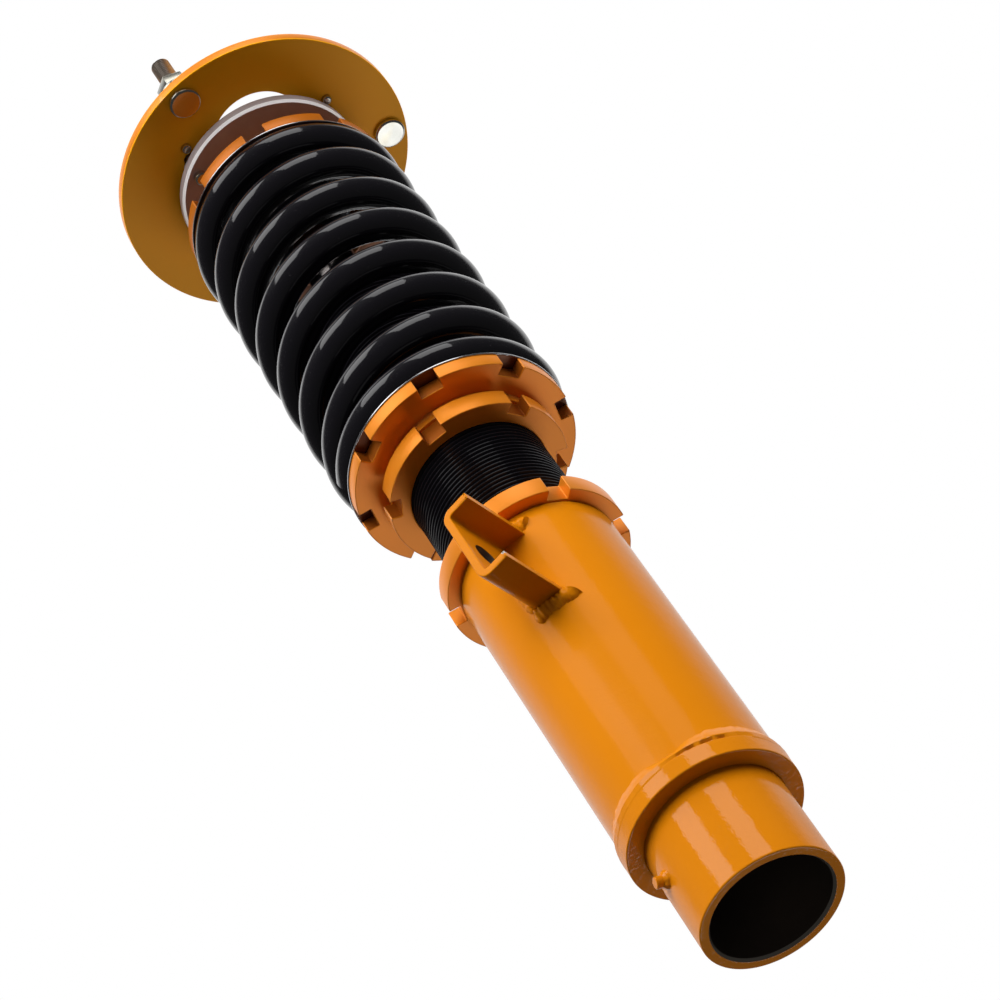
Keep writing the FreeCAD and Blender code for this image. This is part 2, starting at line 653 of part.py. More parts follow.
def top_plate():
    low, high, edge = d.plate_low, d.plate_low + d.plate_thick, 0.8
    blank = turned("plate_blank", [
        (0, low), (d.plate_radius - edge, low), (d.plate_radius, low + edge),
        (d.plate_radius, high - edge), (d.plate_radius - edge, high), (0, high)])
    parts.pop()
    tall = d.plate_thick + 4
    tools = [stadium("camber_slot", d.slot_half, d.slot_radius, low - 2, tall, 0)]
    along = d.camber_radius * math.cos(math.radians(SIZES["camber_angle"]))
    across = d.camber_radius * math.sin(math.radians(SIZES["camber_angle"]))
    for k, (a, b) in enumerate(((1, 1), (1, -1), (-1, 1), (-1, -1))):
        tools.append(stadium("clamp_slot%d" % k, d.camber_travel, d.camber_screw + 0.3, low - 2,
                             tall, 0, radial=along * a, at=across * b))
    for k in range(3):
        hole = cylinder("stud_hole%d" % k, d.bolt_neck, tall, x=d.bolt_circle, z=low - 2)
        tools.append(swung("stud_hole_turn%d" % k, hole, stud_turn(k)))
    for k in range(4):
        hole = cylinder("stop_hole%d" % k, 2.0, tall, x=d.stop_radius, z=low - 2)
        tools.append(swung("stop_hole_turn%d" % k, hole, stop_turn(k)))
    finish(cut("top_plate_cut", blank, join("plate_tools", *tools)), "top_mount_plate")


def plate_fasteners():
    low, high = d.plate_low, d.plate_low + d.plate_thick
    studs, nuts, washers, stops = [], [], [], []
    washer, hex_high = 1.6, 6.75
    rise = washer + hex_high
    for k in range(3):
        at = {"x": d.bolt_circle}
        head = cylinder("stud_head%d" % k, d.bolt_head, 2.5, z=low - 2.5, **at)
        neck = cylinder("stud_neck%d" % k, d.bolt_neck, high - low + rise, z=low, **at)
        shank = cylinder("stud_shank%d" % k, d.bolt_radius, d.bolt_tip - 1 - high - rise,
                         z=high + rise, **at)
        tip = cone("stud_tip%d" % k, d.bolt_radius, d.bolt_radius - 1, 1, z=d.bolt_tip - 1, **at)
        studs.append(place(join("stud_turned%d" % k, head, neck, shank, tip), turn=stud_turn(k)))
        disc = cylinder("stud_disc%d" % k, 8.0, washer, z=high, **at)
        hexa = hexagon("nut_hex%d" % k, Size(13.0, "13"), hex_high, z=high + washer, **at)
        bore = cylinder("nut_bore%d" % k, d.bolt_neck, 20, z=high - 1, **at)
        bore2 = cylinder("washer_bore%d" % k, d.bolt_neck, 20, z=high - 1, **at)
        nut = cut("nut_cut%d" % k, hexa, bore)
        nuts.append(swung("nut_turned%d" % k, nut, stud_turn(k)))
        washers.append(swung("washer_turned%d" % k, cut("washer_cut%d" % k, disc, bore2),
                             stud_turn(k)))
    for k in range(4):
        pin = cylinder("stop_shank%d" % k, 2.0, d.plate_thick + 1.8, x=d.stop_radius, z=low - 1.8)
        key = hexagon("stop_key%d" % k, Size(2.0, "2"), 2.5, x=d.stop_radius, z=high - 2)
        stop = cut("stop_cut%d" % k, pin, key)
        stops.append(swung("stop_turned%d" % k, stop, stop_turn(k)))
    group("tower_studs", studs)
    group("tower_nuts", nuts)
    group("tower_washers", washers)
    group("slot_stop_screws", stops)


insert_tube()
locating_pin()
collar()
outer_tube()
link_bracket()
link_welds()
ring_nut("body_lock_ring", d.outer_top + d.ring_gap, d.body_ring_turn)
ring_nut("perch_lock_ring", d.perch_low - d.perch_hub_height - d.ring_gap - d.ring_thick,
         d.lock_turn)
lower_perch()
coil_spring()
upper_perch()
damper_body()
floating_piston()
piston_rod()
piston()
valve_shims()
rod_fittings()
ball_and_nut()
damping_adjuster()
liner_half("lower_ball_liner", -d.liner_half, -d.liner_gap)
liner_half("upper_ball_liner", d.liner_gap, d.liner_half)
top_bearing()
camber_screws()
top_plate()
plate_fasteners()
doc.recompute()

for obj in doc.Objects:
    if "Invalid" in obj.State or "Error" in obj.State:
        raise RuntimeError("%s failed: %s" % (obj.Label, obj.State))
os.makedirs("parts", exist_ok=True)
for label, obj in parts:
    if obj.Shape.isNull() or not obj.Shape.isValid() or not obj.Shape.Solids:
        raise RuntimeError("bad shape: " + label)
    obj.Shape.exportStep("parts/%s.step" % label)
    print("%-22s %d solids %9.1f mm3" % (label, len(obj.Shape.Solids), obj.Shape.Volume))
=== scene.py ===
import json
import math

import bmesh
import bpy
from mathutils import Matrix, Vector, noise
from mathutils.geometry import tessellate_polygon


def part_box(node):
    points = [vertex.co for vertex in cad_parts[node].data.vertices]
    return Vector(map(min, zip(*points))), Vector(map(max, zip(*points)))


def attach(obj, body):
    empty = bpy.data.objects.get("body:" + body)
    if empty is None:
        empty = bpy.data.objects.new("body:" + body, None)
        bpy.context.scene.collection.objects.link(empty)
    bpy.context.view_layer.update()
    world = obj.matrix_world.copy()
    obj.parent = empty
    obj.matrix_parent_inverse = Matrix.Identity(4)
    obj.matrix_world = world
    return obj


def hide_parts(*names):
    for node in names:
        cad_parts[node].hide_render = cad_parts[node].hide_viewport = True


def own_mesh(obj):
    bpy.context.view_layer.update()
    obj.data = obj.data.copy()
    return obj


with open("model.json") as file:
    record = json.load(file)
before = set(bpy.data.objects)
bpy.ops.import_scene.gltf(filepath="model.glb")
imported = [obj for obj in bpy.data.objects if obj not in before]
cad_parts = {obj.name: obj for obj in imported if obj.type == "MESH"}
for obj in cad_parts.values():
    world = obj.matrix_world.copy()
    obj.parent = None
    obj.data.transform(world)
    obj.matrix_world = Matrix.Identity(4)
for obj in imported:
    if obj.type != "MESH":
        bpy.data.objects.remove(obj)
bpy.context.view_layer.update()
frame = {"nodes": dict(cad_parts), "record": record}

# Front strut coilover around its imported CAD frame. Outlines are in millimetres and become metres
# in Form.piece; the strut axis is Z, the link bracket faces -Y.
MM = 0.001

# Camera: where it stands, the point it looks at, and its roll about that line
CAMERA_AT = (0.2223, -0.7408, -0.5664)
LOOK_AT = (0.0026, 0.0001, 0.2165)
CAMERA_ROLL = -34.7
LENS = 109.86

# Sizes that the nodes' boxes don't give, in millimetres, and turns about the axis in degrees.
# Lower bracket: bores, folded sheet, link hole (y, z), locating pin, and the collar weld's crack
# and dip (width in radians, depth as a share of the bead)
INSERT_BORE, TUBE_BORE = 21.45, 26.96
SHEET, LINK_BEND = 3.0, 4.5
LINK_HOLE, LINK_HOLE_AT = 5.25, (-49.0, 150.5)
PIN_RADIUS, PIN_TIP, PIN_TURN, PIN_HEIGHT = 2.0, 29.5, -135.0, 23.5
CRACK_TURN, CRACK_DEPTH, CRACK_LIFT = -50.0, 0.9, 0.45
DIP_TURN, DIP_WIDTH, DIP_DEPTH = -73.0, 0.3, 0.55
# Ring nuts and perches: spanner slots (width, depth), hub (radius, height), spring register
RING_SLOT, PERCH_SLOT = (8.0, 4.6), (9.0, 5.2)
PERCH_THICK, PERCH_HUB, REGISTER = 6.2, (32.0, 4.2), 32.6
PERCH_TURN, LOCK_TURN, BODY_RING_TURN = -66.9, -79.5, -35.5
# Coil: degrees lying flat at each end, degrees easing into the full pitch, and where the wire
# starts
COIL_RADIUS, WIRE_RADIUS, COIL_PITCH = 39.5, 6.5, 23.6
COIL_DEAD, COIL_EASE, COIL_START = 90.0, 120.0, -143.3
# Damper: threads are (pitch, depth)
DAMPER_BORE, ROD_RADIUS = 22.0, 11.0
BODY_THREAD, THREAD_FROM = (2.0, 1.15), 120.0
# Top mount: rod's threaded end and shoulder, camber slot, clamp and stop screws, studs with
# their (pitch, depth) and nuts, bearing flange, rod nut
STUD_RADIUS, SHOULDER = 7.0, 424.0
SLOT_TURN, SLOT_HALF, SLOT_RADIUS = -54.8, 20.9, 19.5
CLAMP_AT, CLAMP_TURN, CLAMP_SLOT = 33.9, 61.1, (3.3, 3.3)
CLAMP_RADIUS, CLAMP_HEAD, CLAMP_WASHER = 2.9, 5.0, 6.4
STOP_AT, STOP_TURN, STOP_RADIUS = 40.5, 50.0, 2.0
BOLT_CIRCLE, STUD_NECK, STUD_HEAD = 55.0, 4.3, 6.6
BOLT_RADIUS, BOLT_THREAD, BOLT_WASHER, BOLT_NUT = 4.0, (1.25, 0.6), 8.0, 13.0
FLANGE_THICK, FLANGE_CHAMFER, STEP_RADIUS, PAD_RADIUS = 4.6, 1.0, 30.0, 4.2
ROD_NUT, NUT_FOOT = 21.0, 9.9

# Meshing: flat band kept beside a bend, sharpest smooth edge, least height of an upright wall
SUPPORT = 0.25
SHARP = math.radians(38)
WALL_HEIGHT = 1.5
# Fineness of the lathe marks on steel and on anodised aluminium
STEEL_MARKS, ANODISED_MARKS = 2600.0, 2200.0


# --- outlines ------------------------------------------------------------------------
def soften(corners, radius=0.4, steps=4):
    """Rounds the corners of a closed outline; a corner may carry its own radius."""
    points, count = [], len(corners)
    for i, corner in enumerate(corners):
        here = Vector(corner[:2])
        back, ahead = (Vector(corners[j % count][:2]) - here for j in (i - 1, i + 1))
        reach = min(back.length, ahead.length)
        back.normalize()
        ahead.normalize()
        half = back.angle(ahead) / 2
        bend = corner[2] if len(corner) > 2 else radius
        if bend <= 0 or half > math.radians(89):
            points.append(here)
            continue
        tangent = min(bend / math.tan(half), reach * 0.45)
        bend = tangent * math.tan(half)
        middle = here + (back + ahead).normalized() * (bend / math.sin(half))
        first, last = here + back * tangent - middle, here + ahead * tangent - middle
        sweep = first.angle(last)
        spare = tangent + SUPPORT < reach * 0.5
        if spare:
            points.append(here + back * (tangent + SUPPORT))
        for k in range(steps + 1):
            t = k / steps
            points.append(middle + (first * math.sin((1 - t) * sweep)
                                    + last * math.sin(t * sweep)) / math.sin(sweep))
        if spare:
            points.append(here + ahead * (tangent + SUPPORT))
    return points


def circle(radius, x=0.0, y=0.0, steps=96):
    return [Vector((x + radius * math.cos(a), y + radius * math.sin(a)))
            for a in (math.tau * k / steps for k in range(steps))]


def hexagon(across, turn, bend=0.5):
    """Rounded hexagon, sized across its flats."""
    reach = across / math.sqrt(3)
    return soften([(reach * math.cos(a), reach * math.sin(a), bend)
                   for a in (math.radians(turn + 60 * k) for k in range(6))])


def stadium(half, radius, turn, along=0.0, across=0.0, steps=48):
    """Round-ended slot outline with its length at an angle, offset along and across that."""
    points = []
    for end, back in ((half, 0), (-half, math.pi)):
        for k in range(steps + 1):
            a = math.pi * (k / steps - 0.5) + back
            points.append((along + end + radius * math.cos(a), across + radius * math.sin(a)))
    c, s = math.cos(math.radians(turn)), math.sin(math.radians(turn))
    return [Vector((x * c - y * s, x * s + y * c)) for x, y in points]


def slotted(radius, count, width, depth, turn, bend=0.35):
    """Outline of a ring's rim with square spanner slots."""
    corners, half = [], width / 2
    rim = math.sqrt(radius ** 2 - half ** 2)
    for n in range(count):
        middle = math.radians(turn + 360 * n / count)
        c, s = math.cos(middle), math.sin(middle)

        def at(x, y):
            return x * c - y * s, x * s + y * c
        for x, y in ((rim, -half), (radius - depth, -half), (radius - depth, half), (rim, half)):
            corners.append((*at(x, y), bend))
        start = middle + math.asin(half / radius)
        end = middle + math.tau / count - math.asin(half / radius)
        arcs = max(6, int(120 / count))
        for k in range(1, arcs):
            a = start + (end - start) * k / arcs
            corners.append((radius * math.cos(a), radius * math.sin(a), 0))
    return soften(corners, bend)


def area(loop):
    return sum(a.x * b.y - b.x * a.y for a, b in zip(loop, loop[1:] + loop[:1])) / 2


def inset(loop, distance):
    """The loop moved into the material, which lies on its left."""
    moved, count = [], len(loop)
    for i, p in enumerate(loop):
        before, after = p - loop[i - 1], loop[(i + 1) % count] - p
        before, after = before.normalized(), after.normalized()
        normal = Vector((-before.y - after.y, before.x + after.x))
        normal.normalize()
        lean = max(0.5, normal.dot(Vector((-after.y, after.x))))
        moved.append(p + normal * (distance / lean))
    return moved


def wander(x, y, z, scale):
    """Smooth noise in -1..1 that repeats the same way each run."""
    return noise.noise(Vector((x, y, z)) * scale)


# --- mesh building -------------------------------------------------------------------
class Form:
    """Points in millimetres and faces, gathered into one piece."""

    def __init__(self):
        self.points, self.faces, self.kinds = [], [], []

    def loop(self, points):
        start = len(self.points)
        self.points.extend(Vector(p) for p in points)
        return list(range(start, len(self.points)))

    def face(self, corners, kind=0):
        self.faces.append(corners)
        self.kinds.append(kind)

    def bridge(self, low, high, kind=0):
        """Joins two closed loops of points; either may be a single point."""
        count = max(len(low), len(high))
        for k in range(count):
            n = (k + 1) % count
            if len(low) == 1:
                self.face([low[0], high[n], high[k]], kind)
            elif len(high) == 1:
                self.face([low[k], low[n], high[0]], kind)
            else:
                self.face([low[k], low[n], high[n], high[k]], kind)

    def turn(self, outline, steps=192, place=None, change=None, kind=None):
        """Turns a closed (r, z) outline about Z. change(a, r, z) moves points, kind(r, z) picks
        the material."""
        loops = []
        for r, z in outline:
            ring = []
            for k in range(steps if r > 1e-6 else 1):
                a = math.tau * k / steps
                rr, zz = change(a, r, z) if change else (r, z)
                ring.append(Vector((rr * math.cos(a), rr * math.sin(a), zz)))
            loops.append(self.loop([place @ p for p in ring] if place else ring))
        for i, low in enumerate(loops):
            j = (i + 1) % len(loops)
            if len(low) == 1 and len(loops[j]) == 1:
                continue
            middle = (Vector(outline[i]) + Vector(outline[j])) / 2
            self.bridge(low, loops[j], kind(*middle) if kind else 0)

    def prism(self, loops, low, high, bevel, lift=None):
        """A flat shape between two heights with rounded rims; the first loop is the outside.
        lift(x, y, z) turns it another way."""
        lift = lift or (lambda x, y, z: (x, y, z))
        loops = [loop if (area(loop) > 0) == (n == 0) else loop[::-1]
                 for n, loop in enumerate(loops)]
        arc = [math.radians(30 * k) for k in range(4)]
        levels = [(low, bevel + SUPPORT)]
        levels += [(low + bevel * (1 - math.cos(a)), bevel * (1 - math.sin(a))) for a in arc]
        levels += [(high - z + low, depth) for z, depth in reversed(levels)]
        ends = {0: [], len(levels) - 1: []}
        for loop in loops:
            before = None
            for n, (z, depth) in enumerate(levels):
                ring = self.loop([lift(p.x, p.y, z) for p in inset(loop, depth)])
                if n in ends:
                    ends[n].append((inset(loop, depth), ring))
                if before:
                    self.bridge(before, ring)
                before = ring
        for rings in ends.values():
            corners = [i for _, ring in rings for i in ring]
            flat = [[Vector((p.x, p.y, 0)) for p in line] for line, _ in rings]
            for a, b, c in tessellate_polygon(flat):
                self.face([corners[a], corners[b], corners[c]])

    def sweep(self, path, size, across, lump):
        """A round bar along a path; size(n) is its radius at point n, lump its unevenness."""
        rings, count, side = [], len(path), None
        for n, p in enumerate(path):
            ahead = (path[min(n + 1, count - 1)] - path[max(n - 1, 0)]).normalized()
            side = side if side else ahead.orthogonal()
            side = (side - ahead * side.dot(ahead)).normalized()
            up = ahead.cross(side)
            radius = size(n)
            ring = []
            for a in (math.tau * k / across for k in range(across)):
                arm = (side * math.cos(a) + up * math.sin(a)) * radius
                uneven = wander(*(p + arm), 0.3) + 0.25 * wander(*(p + arm), 0.7)
                ring.append(p + arm * (1 + lump * uneven))
            rings.append(self.loop(ring))
        for low, high in zip(rings, rings[1:]):
            self.bridge(low, high)
        for ring, centre in ((rings[0], path[0]), (rings[-1], path[-1])):
            self.bridge(ring, self.loop([centre]))

    def thread(self, radius, pitch, depth, low, high, steps, place=None, kind=0):
        """Screw thread: crest, flank, root and flank climb one pitch in a turn."""
        shape = ((0.0, 0.0), (0.16, 0.0), (0.5, depth), (0.62, depth), (0.96, 0.0))
        rings = []
        for n in range(int((high - low) / pitch)):
            for part, cut in shape:
                ring = []
                for k in range(steps):
                    a = math.tau * k / steps
                    z = min(max(low + (n + part + k / steps) * pitch, low), high)
                    r = radius - cut
                    ring.append(Vector((r * math.cos(a), r * math.sin(a), z)))
                rings.append(self.loop([place @ p for p in ring] if place else ring))
        for low_ring, high_ring in zip(rings, rings[1:]):
            for k in range(steps - 1):
                self.face([low_ring[k], low_ring[k + 1], high_ring[k + 1], high_ring[k]], kind)
        turns = len(shape)
        for n in range(len(rings) - turns - 1):
            self.face([rings[n][-1], rings[n + turns][0], rings[n + turns + 1][0],
                       rings[n + 1][-1]], kind)

    def line_walls(self, inner, outer):
        """Gives the upright faces between two radii the second material."""
        for n, corners in enumerate(self.faces):
            points = [self.points[i] for i in corners]
            tall = max(p.z for p in points) - min(p.z for p in points) > WALL_HEIGHT
            reach = sum(p.xy.length for p in points) / len(points)
            if tall and inner < reach < outer:
                self.kinds[n] = 1

    def piece(self, name, materials, node):
        """Makes the object, puts it on its node's body and lets it stand for the node."""
        mesh = bpy.data.meshes.new(name)
        mesh.from_pydata([p * MM for p in self.points], [], self.faces)
        for material in materials:
            mesh.materials.append(material)
        mesh.polygons.foreach_set("material_index", self.kinds)
        mesh.polygons.foreach_set("use_smooth", [True] * len(self.faces))
        work = bmesh.new()
        work.from_mesh(mesh)
        bmesh.ops.recalc_face_normals(work, faces=work.faces)
        work.to_mesh(mesh)
        work.free()
        mesh.set_sharp_from_angle(angle=SHARP)
        obj = bpy.data.objects.new(name, mesh)
        bpy.context.scene.collection.objects.link(obj)
        if node:
            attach(obj, BODY_OF[node])
            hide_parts(node)
        return obj


BODY_OF = {node: body for body, nodes in frame["record"]["behaviour"]["bodies"].items()
           for node in nodes}
SLOT_OF = {part["node"]: part["material_slot"] for part in frame["record"]["subparts"]}


def span(node):
    """A turned node's outer radius, bottom and top in millimetres."""
    low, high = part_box(node)
    return max(-low.x, high.x, -low.y, high.y) / MM, low.z / MM, high.z / MM


def swing(turn, out=0.0, up=0.0):
    """Moves a shape out from the strut axis and up, then turns it about that axis."""
    return Matrix.Rotation(math.radians(turn), 4, "Z") @ Matrix.Translation((out, 0, up))


SIDEWAYS = Matrix.Rotation(math.radians(90), 4, "Y")


# --- materials -----------------------------------------------------------------------
class Finish:
    """A node material with a few helpers."""

    def __init__(self, name, **values):
        self.material = bpy.data.materials.new(name)
        self.material.use_nodes = True
        self.nodes = self.material.node_tree.nodes
        self.links = self.material.node_tree.links
        self.shader = self.nodes["Principled BSDF"]
        for socket, value in values.items():
            self.shader.inputs[socket.replace("_", " ")].default_value = value
        self.place = self.nodes.new("ShaderNodeTexCoord").outputs["Object"]

    def math(self, kind, *inputs):
        node = self.nodes.new("ShaderNodeMath")
        node.operation = kind
        return self.feed(node, inputs)

    def feed(self, node, inputs, output=0):
        for socket, value in zip(node.inputs, inputs):
            if isinstance(value, bpy.types.NodeSocket):
                self.links.new(value, socket)
            else:
                socket.default_value = value
        return node.outputs[output]

    def noise(self, scale, detail, rough=0.5, where=None):
        node = self.nodes.new("ShaderNodeTexNoise")
        self.links.new(where or self.place, node.inputs["Vector"])
        node.inputs["Scale"].default_value = scale
        node.inputs["Detail"].default_value = detail
        node.inputs["Roughness"].default_value = rough
        return node.outputs["Fac"]

    def spots(self, scale):
        node = self.nodes.new("ShaderNodeTexVoronoi")
        self.links.new(self.place, node.inputs["Vector"])
        node.inputs["Scale"].default_value = scale
        return node.outputs["Distance"]

    def ramp(self, value, *stops):
        """Each stop is (position, grey or colour)."""
        node = self.nodes.new("ShaderNodeValToRGB")
        while len(node.color_ramp.elements) < len(stops):
            node.color_ramp.elements.new(0.5)
        for element, (position, colour) in zip(node.color_ramp.elements, stops):
            element.position = position
            grey = isinstance(colour, (int, float))
            element.color = (colour,) * 3 + (1,) if grey else (*colour, 1)
        self.links.new(value, node.inputs["Fac"])
        return node.outputs["Color"]

    def mix(self, share, first, second):
        node = self.nodes.new("ShaderNodeMix")
        node.data_type = "RGBA"
        colours = [socket for socket in node.inputs if socket.type == "RGBA"]
        for socket, value in zip([node.inputs["Factor"]] + colours, (share, first, second)):
            if isinstance(value, bpy.types.NodeSocket):
                self.links.new(value, socket)
            else:
                socket.default_value = (*value, 1) if isinstance(value, tuple) else value
        return next(socket for socket in node.outputs if socket.type == "RGBA")

    def grain(self, fine):
        """Lathe marks: noise drawn out round the strut axis."""
        split = self.nodes.new("ShaderNodeSeparateXYZ")
        self.links.new(self.place, split.inputs[0])
        x, y, z = split.outputs
        radius = self.math("SQRT", self.math("ADD", self.math("MULTIPLY", x, x),
                                             self.math("MULTIPLY", y, y)))
        angle = self.math("ARCTAN2", y, x)
        join = self.nodes.new("ShaderNodeCombineXYZ")
        where = self.feed(join, (self.math("MULTIPLY", radius, fine),
                                 self.math("MULTIPLY", z, fine),
                                 self.math("MULTIPLY", angle, 1.2)))
        return self.noise(1.0, 2.0, 0.6, where)

    def edges(self, start, end):
        """White where the mesh turns outwards, away from level faces."""
        shape = self.nodes.new("ShaderNodeNewGeometry")
        split = self.nodes.new("ShaderNodeSeparateXYZ")
        self.links.new(shape.outputs["True Normal"], split.inputs[0])
        level = self.math("GREATER_THAN", self.math("ABSOLUTE", split.outputs[2]), 0.985)
        out = self.ramp(shape.outputs["Pointiness"], (start, 0.0), (end, 1.0))
        return self.math("MULTIPLY", out, self.math("SUBTRACT", 1.0, level))

    def near(self, point, radius):
        """White within a ragged radius of a point in metres."""
        gap = self.nodes.new("ShaderNodeVectorMath")
        gap.operation = "DISTANCE"
        self.links.new(self.place, gap.inputs[0])
        gap.inputs[1].default_value = point
        ragged = self.math("MULTIPLY", self.noise(900, 3), radius * 1.4)
        inside = self.math("ADD", gap.outputs["Value"], ragged)
        return self.ramp(self.math("DIVIDE", inside, radius * 2), (0.72, 1.0), (0.80, 0.0))

    def bump(self, *heights):
        """Stacked bumps, each (height, distance in metres)."""
        normal = None
        for height, distance in heights:
            node = self.nodes.new("ShaderNodeBump")
            node.inputs["Distance"].default_value = distance
            node.inputs["Strength"].default_value = 1.0
            self.links.new(height, node.inputs["Height"])
            if normal:
                self.links.new(normal, node.inputs["Normal"])
            normal = node.outputs["Normal"]
        for socket in ("Normal", "Coat Normal"):
            self.links.new(normal, self.shader.inputs[socket])

    def colour(self, socket):
        self.links.new(socket, self.shader.inputs["Base Color"])

    def roughness(self, socket):
        self.links.new(socket, self.shader.inputs["Roughness"])


GOLD_TONES = (0.54, 0.170, 0.001), (0.50, 0.153, 0.001)
# The third colour is a pale orange mixed into anodised edges as a painted edge highlight.
BARE_STEEL, GRIT, EDGE_HIGHLIGHT = (0.42, 0.38, 0.33), (0.10, 0.03, 0.003), (0.90, 0.46, 0.20)
CHIP_RADIUS = 0.0016


def paint(name, light, dark, gloss, coat_rough, coat_ior, bare_at=None):
    """Gloss enamel: faint flow in the colour, orange peel, dust nibs and chips to bare steel."""
    f = Finish(name, Roughness=0.6, Coat_Weight=gloss, Coat_Roughness=coat_rough,
               Coat_IOR=coat_ior, Specular_IOR_Level=0.05)
    base = f.mix(f.noise(22, 3), dark, light)
    rare = f.ramp(f.noise(60, 1), (0.63, 0.0), (0.67, 1.0))
    speck = f.math("MULTIPLY", f.ramp(f.spots(150), (0.0, 1.0), (0.025, 0.0)), rare)
    marked = f.mix(speck, base, GRIT)
    chip = f.math("MULTIPLY", f.edges(0.60, 0.68),
                  f.ramp(f.noise(420, 3, 0.6), (0.66, 0.0), (0.69, 1.0)))
    if bare_at:
        chip = f.math("MAXIMUM", chip, f.near(bare_at, CHIP_RADIUS))
    f.colour(f.mix(chip, marked, BARE_STEEL))
    f.bump((f.noise(260, 2), 0.00007), (f.noise(900, 2), 0.000045))
    return f.material


def anodised(name, light, dark, rough=0.40, film=0.25, metal=0.68):
    """Turned aluminium under coloured anodising, duller on its edges and paler there as a painted
    edge highlight.
    """
    f = Finish(name, Metallic=metal, Specular_IOR_Level=0.3, Coat_Weight=film,
               Coat_Roughness=0.34, Coat_IOR=1.6)
    lathe = f.grain(ANODISED_MARKS)
    rims = f.ramp(f.edges(0.54, 0.64), (0.0, 0.0), (1.0, 0.6))
    f.colour(f.mix(rims, f.mix(f.noise(35, 3), dark, light), EDGE_HIGHLIGHT))
    turned = f.ramp(lathe, (0.3, rough - 0.015), (0.7, rough + 0.025))
    f.roughness(f.mix(rims, turned, (0.6, 0.6, 0.6)))
    f.bump((lathe, 0.0000009), (f.noise(900, 2), 0.000004))
    return f.material


def steel(name, light, dark, rough, grain=True, tint=None, metal=1.0):
    """Bare, plated or polished metal."""
    f = Finish(name, Metallic=metal)
    marks = f.grain(STEEL_MARKS) if grain else f.noise(220, 2)
    tone = f.mix(f.noise(45, 4, 0.6), dark, light)
    if tint:
        tone = f.mix(f.ramp(f.noise(90, 2), (0.45, 0.0), (0.62, 0.8)), tone, tint)
    f.colour(tone)
    f.roughness(f.ramp(marks, (0.15, max(0.02, rough * 0.8)), (0.85, rough * 1.2)))
    f.bump((marks, 0.000006), (f.noise(240, 3), 0.000012))
    return f.material


def coated_black(name, tone, rough, coat):
    """Black powder coat: orange peel and a little dust."""
    f = Finish(name, Coat_Weight=coat, Coat_Roughness=0.05, Coat_IOR=1.6,
               Specular_IOR_Level=0.08)
    dust = f.ramp(f.noise(800, 2), (0.70, 0.0), (0.80, 0.10))
    f.colour(f.mix(dust, tone, (0.12, 0.11, 0.12)))
    f.roughness(f.ramp(f.noise(70, 3), (0.3, rough), (0.7, rough + 0.12)))
    f.bump((f.noise(300, 2), 0.00003), (f.noise(1500, 2), 0.000006))
    return f.material


def soft(name, light, dark, rough, cell):
    """Rubber, foam or plastic with a moulded grain."""
    f = Finish(name, Specular_IOR_Level=0.35)
    f.colour(f.mix(f.noise(60, 4, 0.6), dark, light))
    f.roughness(f.ramp(f.noise(200, 2), (0.3, rough - 0.08), (0.7, rough + 0.08)))
    f.bump((f.spots(cell), 0.00008), (f.noise(cell * 1.7, 2), 0.00003))
    return f.material


BRACKET_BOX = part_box("link_bracket")
CHIPPED = (BRACKET_BOX[1].x, BRACKET_BOX[0].y, BRACKET_BOX[0].z + SHEET * MM)
GOLD = paint("gold_enamel", *GOLD_TONES, 0.80, 0.15, 1.2, CHIPPED)
WET_GOLD = paint("gold_enamel_gloss", *GOLD_TONES, 0.36, 0.03, 1.9)
# Dark finish for the insert's bore and the bracket's hole wall: painted shade inside them.
BORE = steel("bore_painted_shade", (0.12, 0.09, 0.07), (0.06, 0.045, 0.035), 0.40, metal=0.5)
# Pale steel on the insert's bore chamfer: partly rubbed metal, partly a painted glint.
RUBBED_GLINT = steel("rubbed_edge_painted_glint", (0.50, 0.46, 0.40), (0.32, 0.28, 0.22), 0.32)
ANODISED = anodised("gold_anodising", (0.82, 0.255, 0.012), (0.75, 0.225, 0.010), metal=0.5)
# A darker copy of the gold anodising for the upper perch: painted shade, the plate's shadow over
# it.
UPPER_SHADE = anodised("upper_anodising_painted_shade", (0.50, 0.138, 0.005), (0.44, 0.118, 0.004), metal=0.5)
# A darker, redder copy of the anodising for the walls inside spanner slots: painted shade in the
# slots.
SLOT_SHADE = anodised("slot_anodising_painted_shade", (0.46, 0.120, 0.010), (0.38, 0.095, 0.008), 0.50, 0.1)
PLATE = anodised("gold_plate_coat", (1.0, 0.42, 0.001), (0.94, 0.38, 0.0), 0.55, 0.0, 0.02)
SPRING = coated_black("gloss_black_spring", (0.004, 0.0035, 0.005), 0.30, 1.0)
THREAD = coated_black("satin_black_thread", (0.005, 0.0045, 0.006), 0.30, 0.12)
CHROME = steel("hard_chrome", (0.34, 0.31, 0.30), (0.28, 0.25, 0.24), 0.10)
POLISHED = steel("polished_steel", (0.60, 0.58, 0.56), (0.50, 0.48, 0.46), 0.14)
BRIGHT = steel("bright_steel", (0.84, 0.84, 0.86), (0.70, 0.70, 0.73), 0.22)
# Near-white matt finish on the housing's chamfer: a painted highlight.
CHAMFER = steel("chamfer_painted_highlight", (0.98, 0.97, 0.96), (0.93, 0.92, 0.91), 0.45, metal=0.1)
DISC = steel("polished_disc", (0.52, 0.47, 0.47), (0.26, 0.22, 0.22), 0.34, False, metal=0.35)
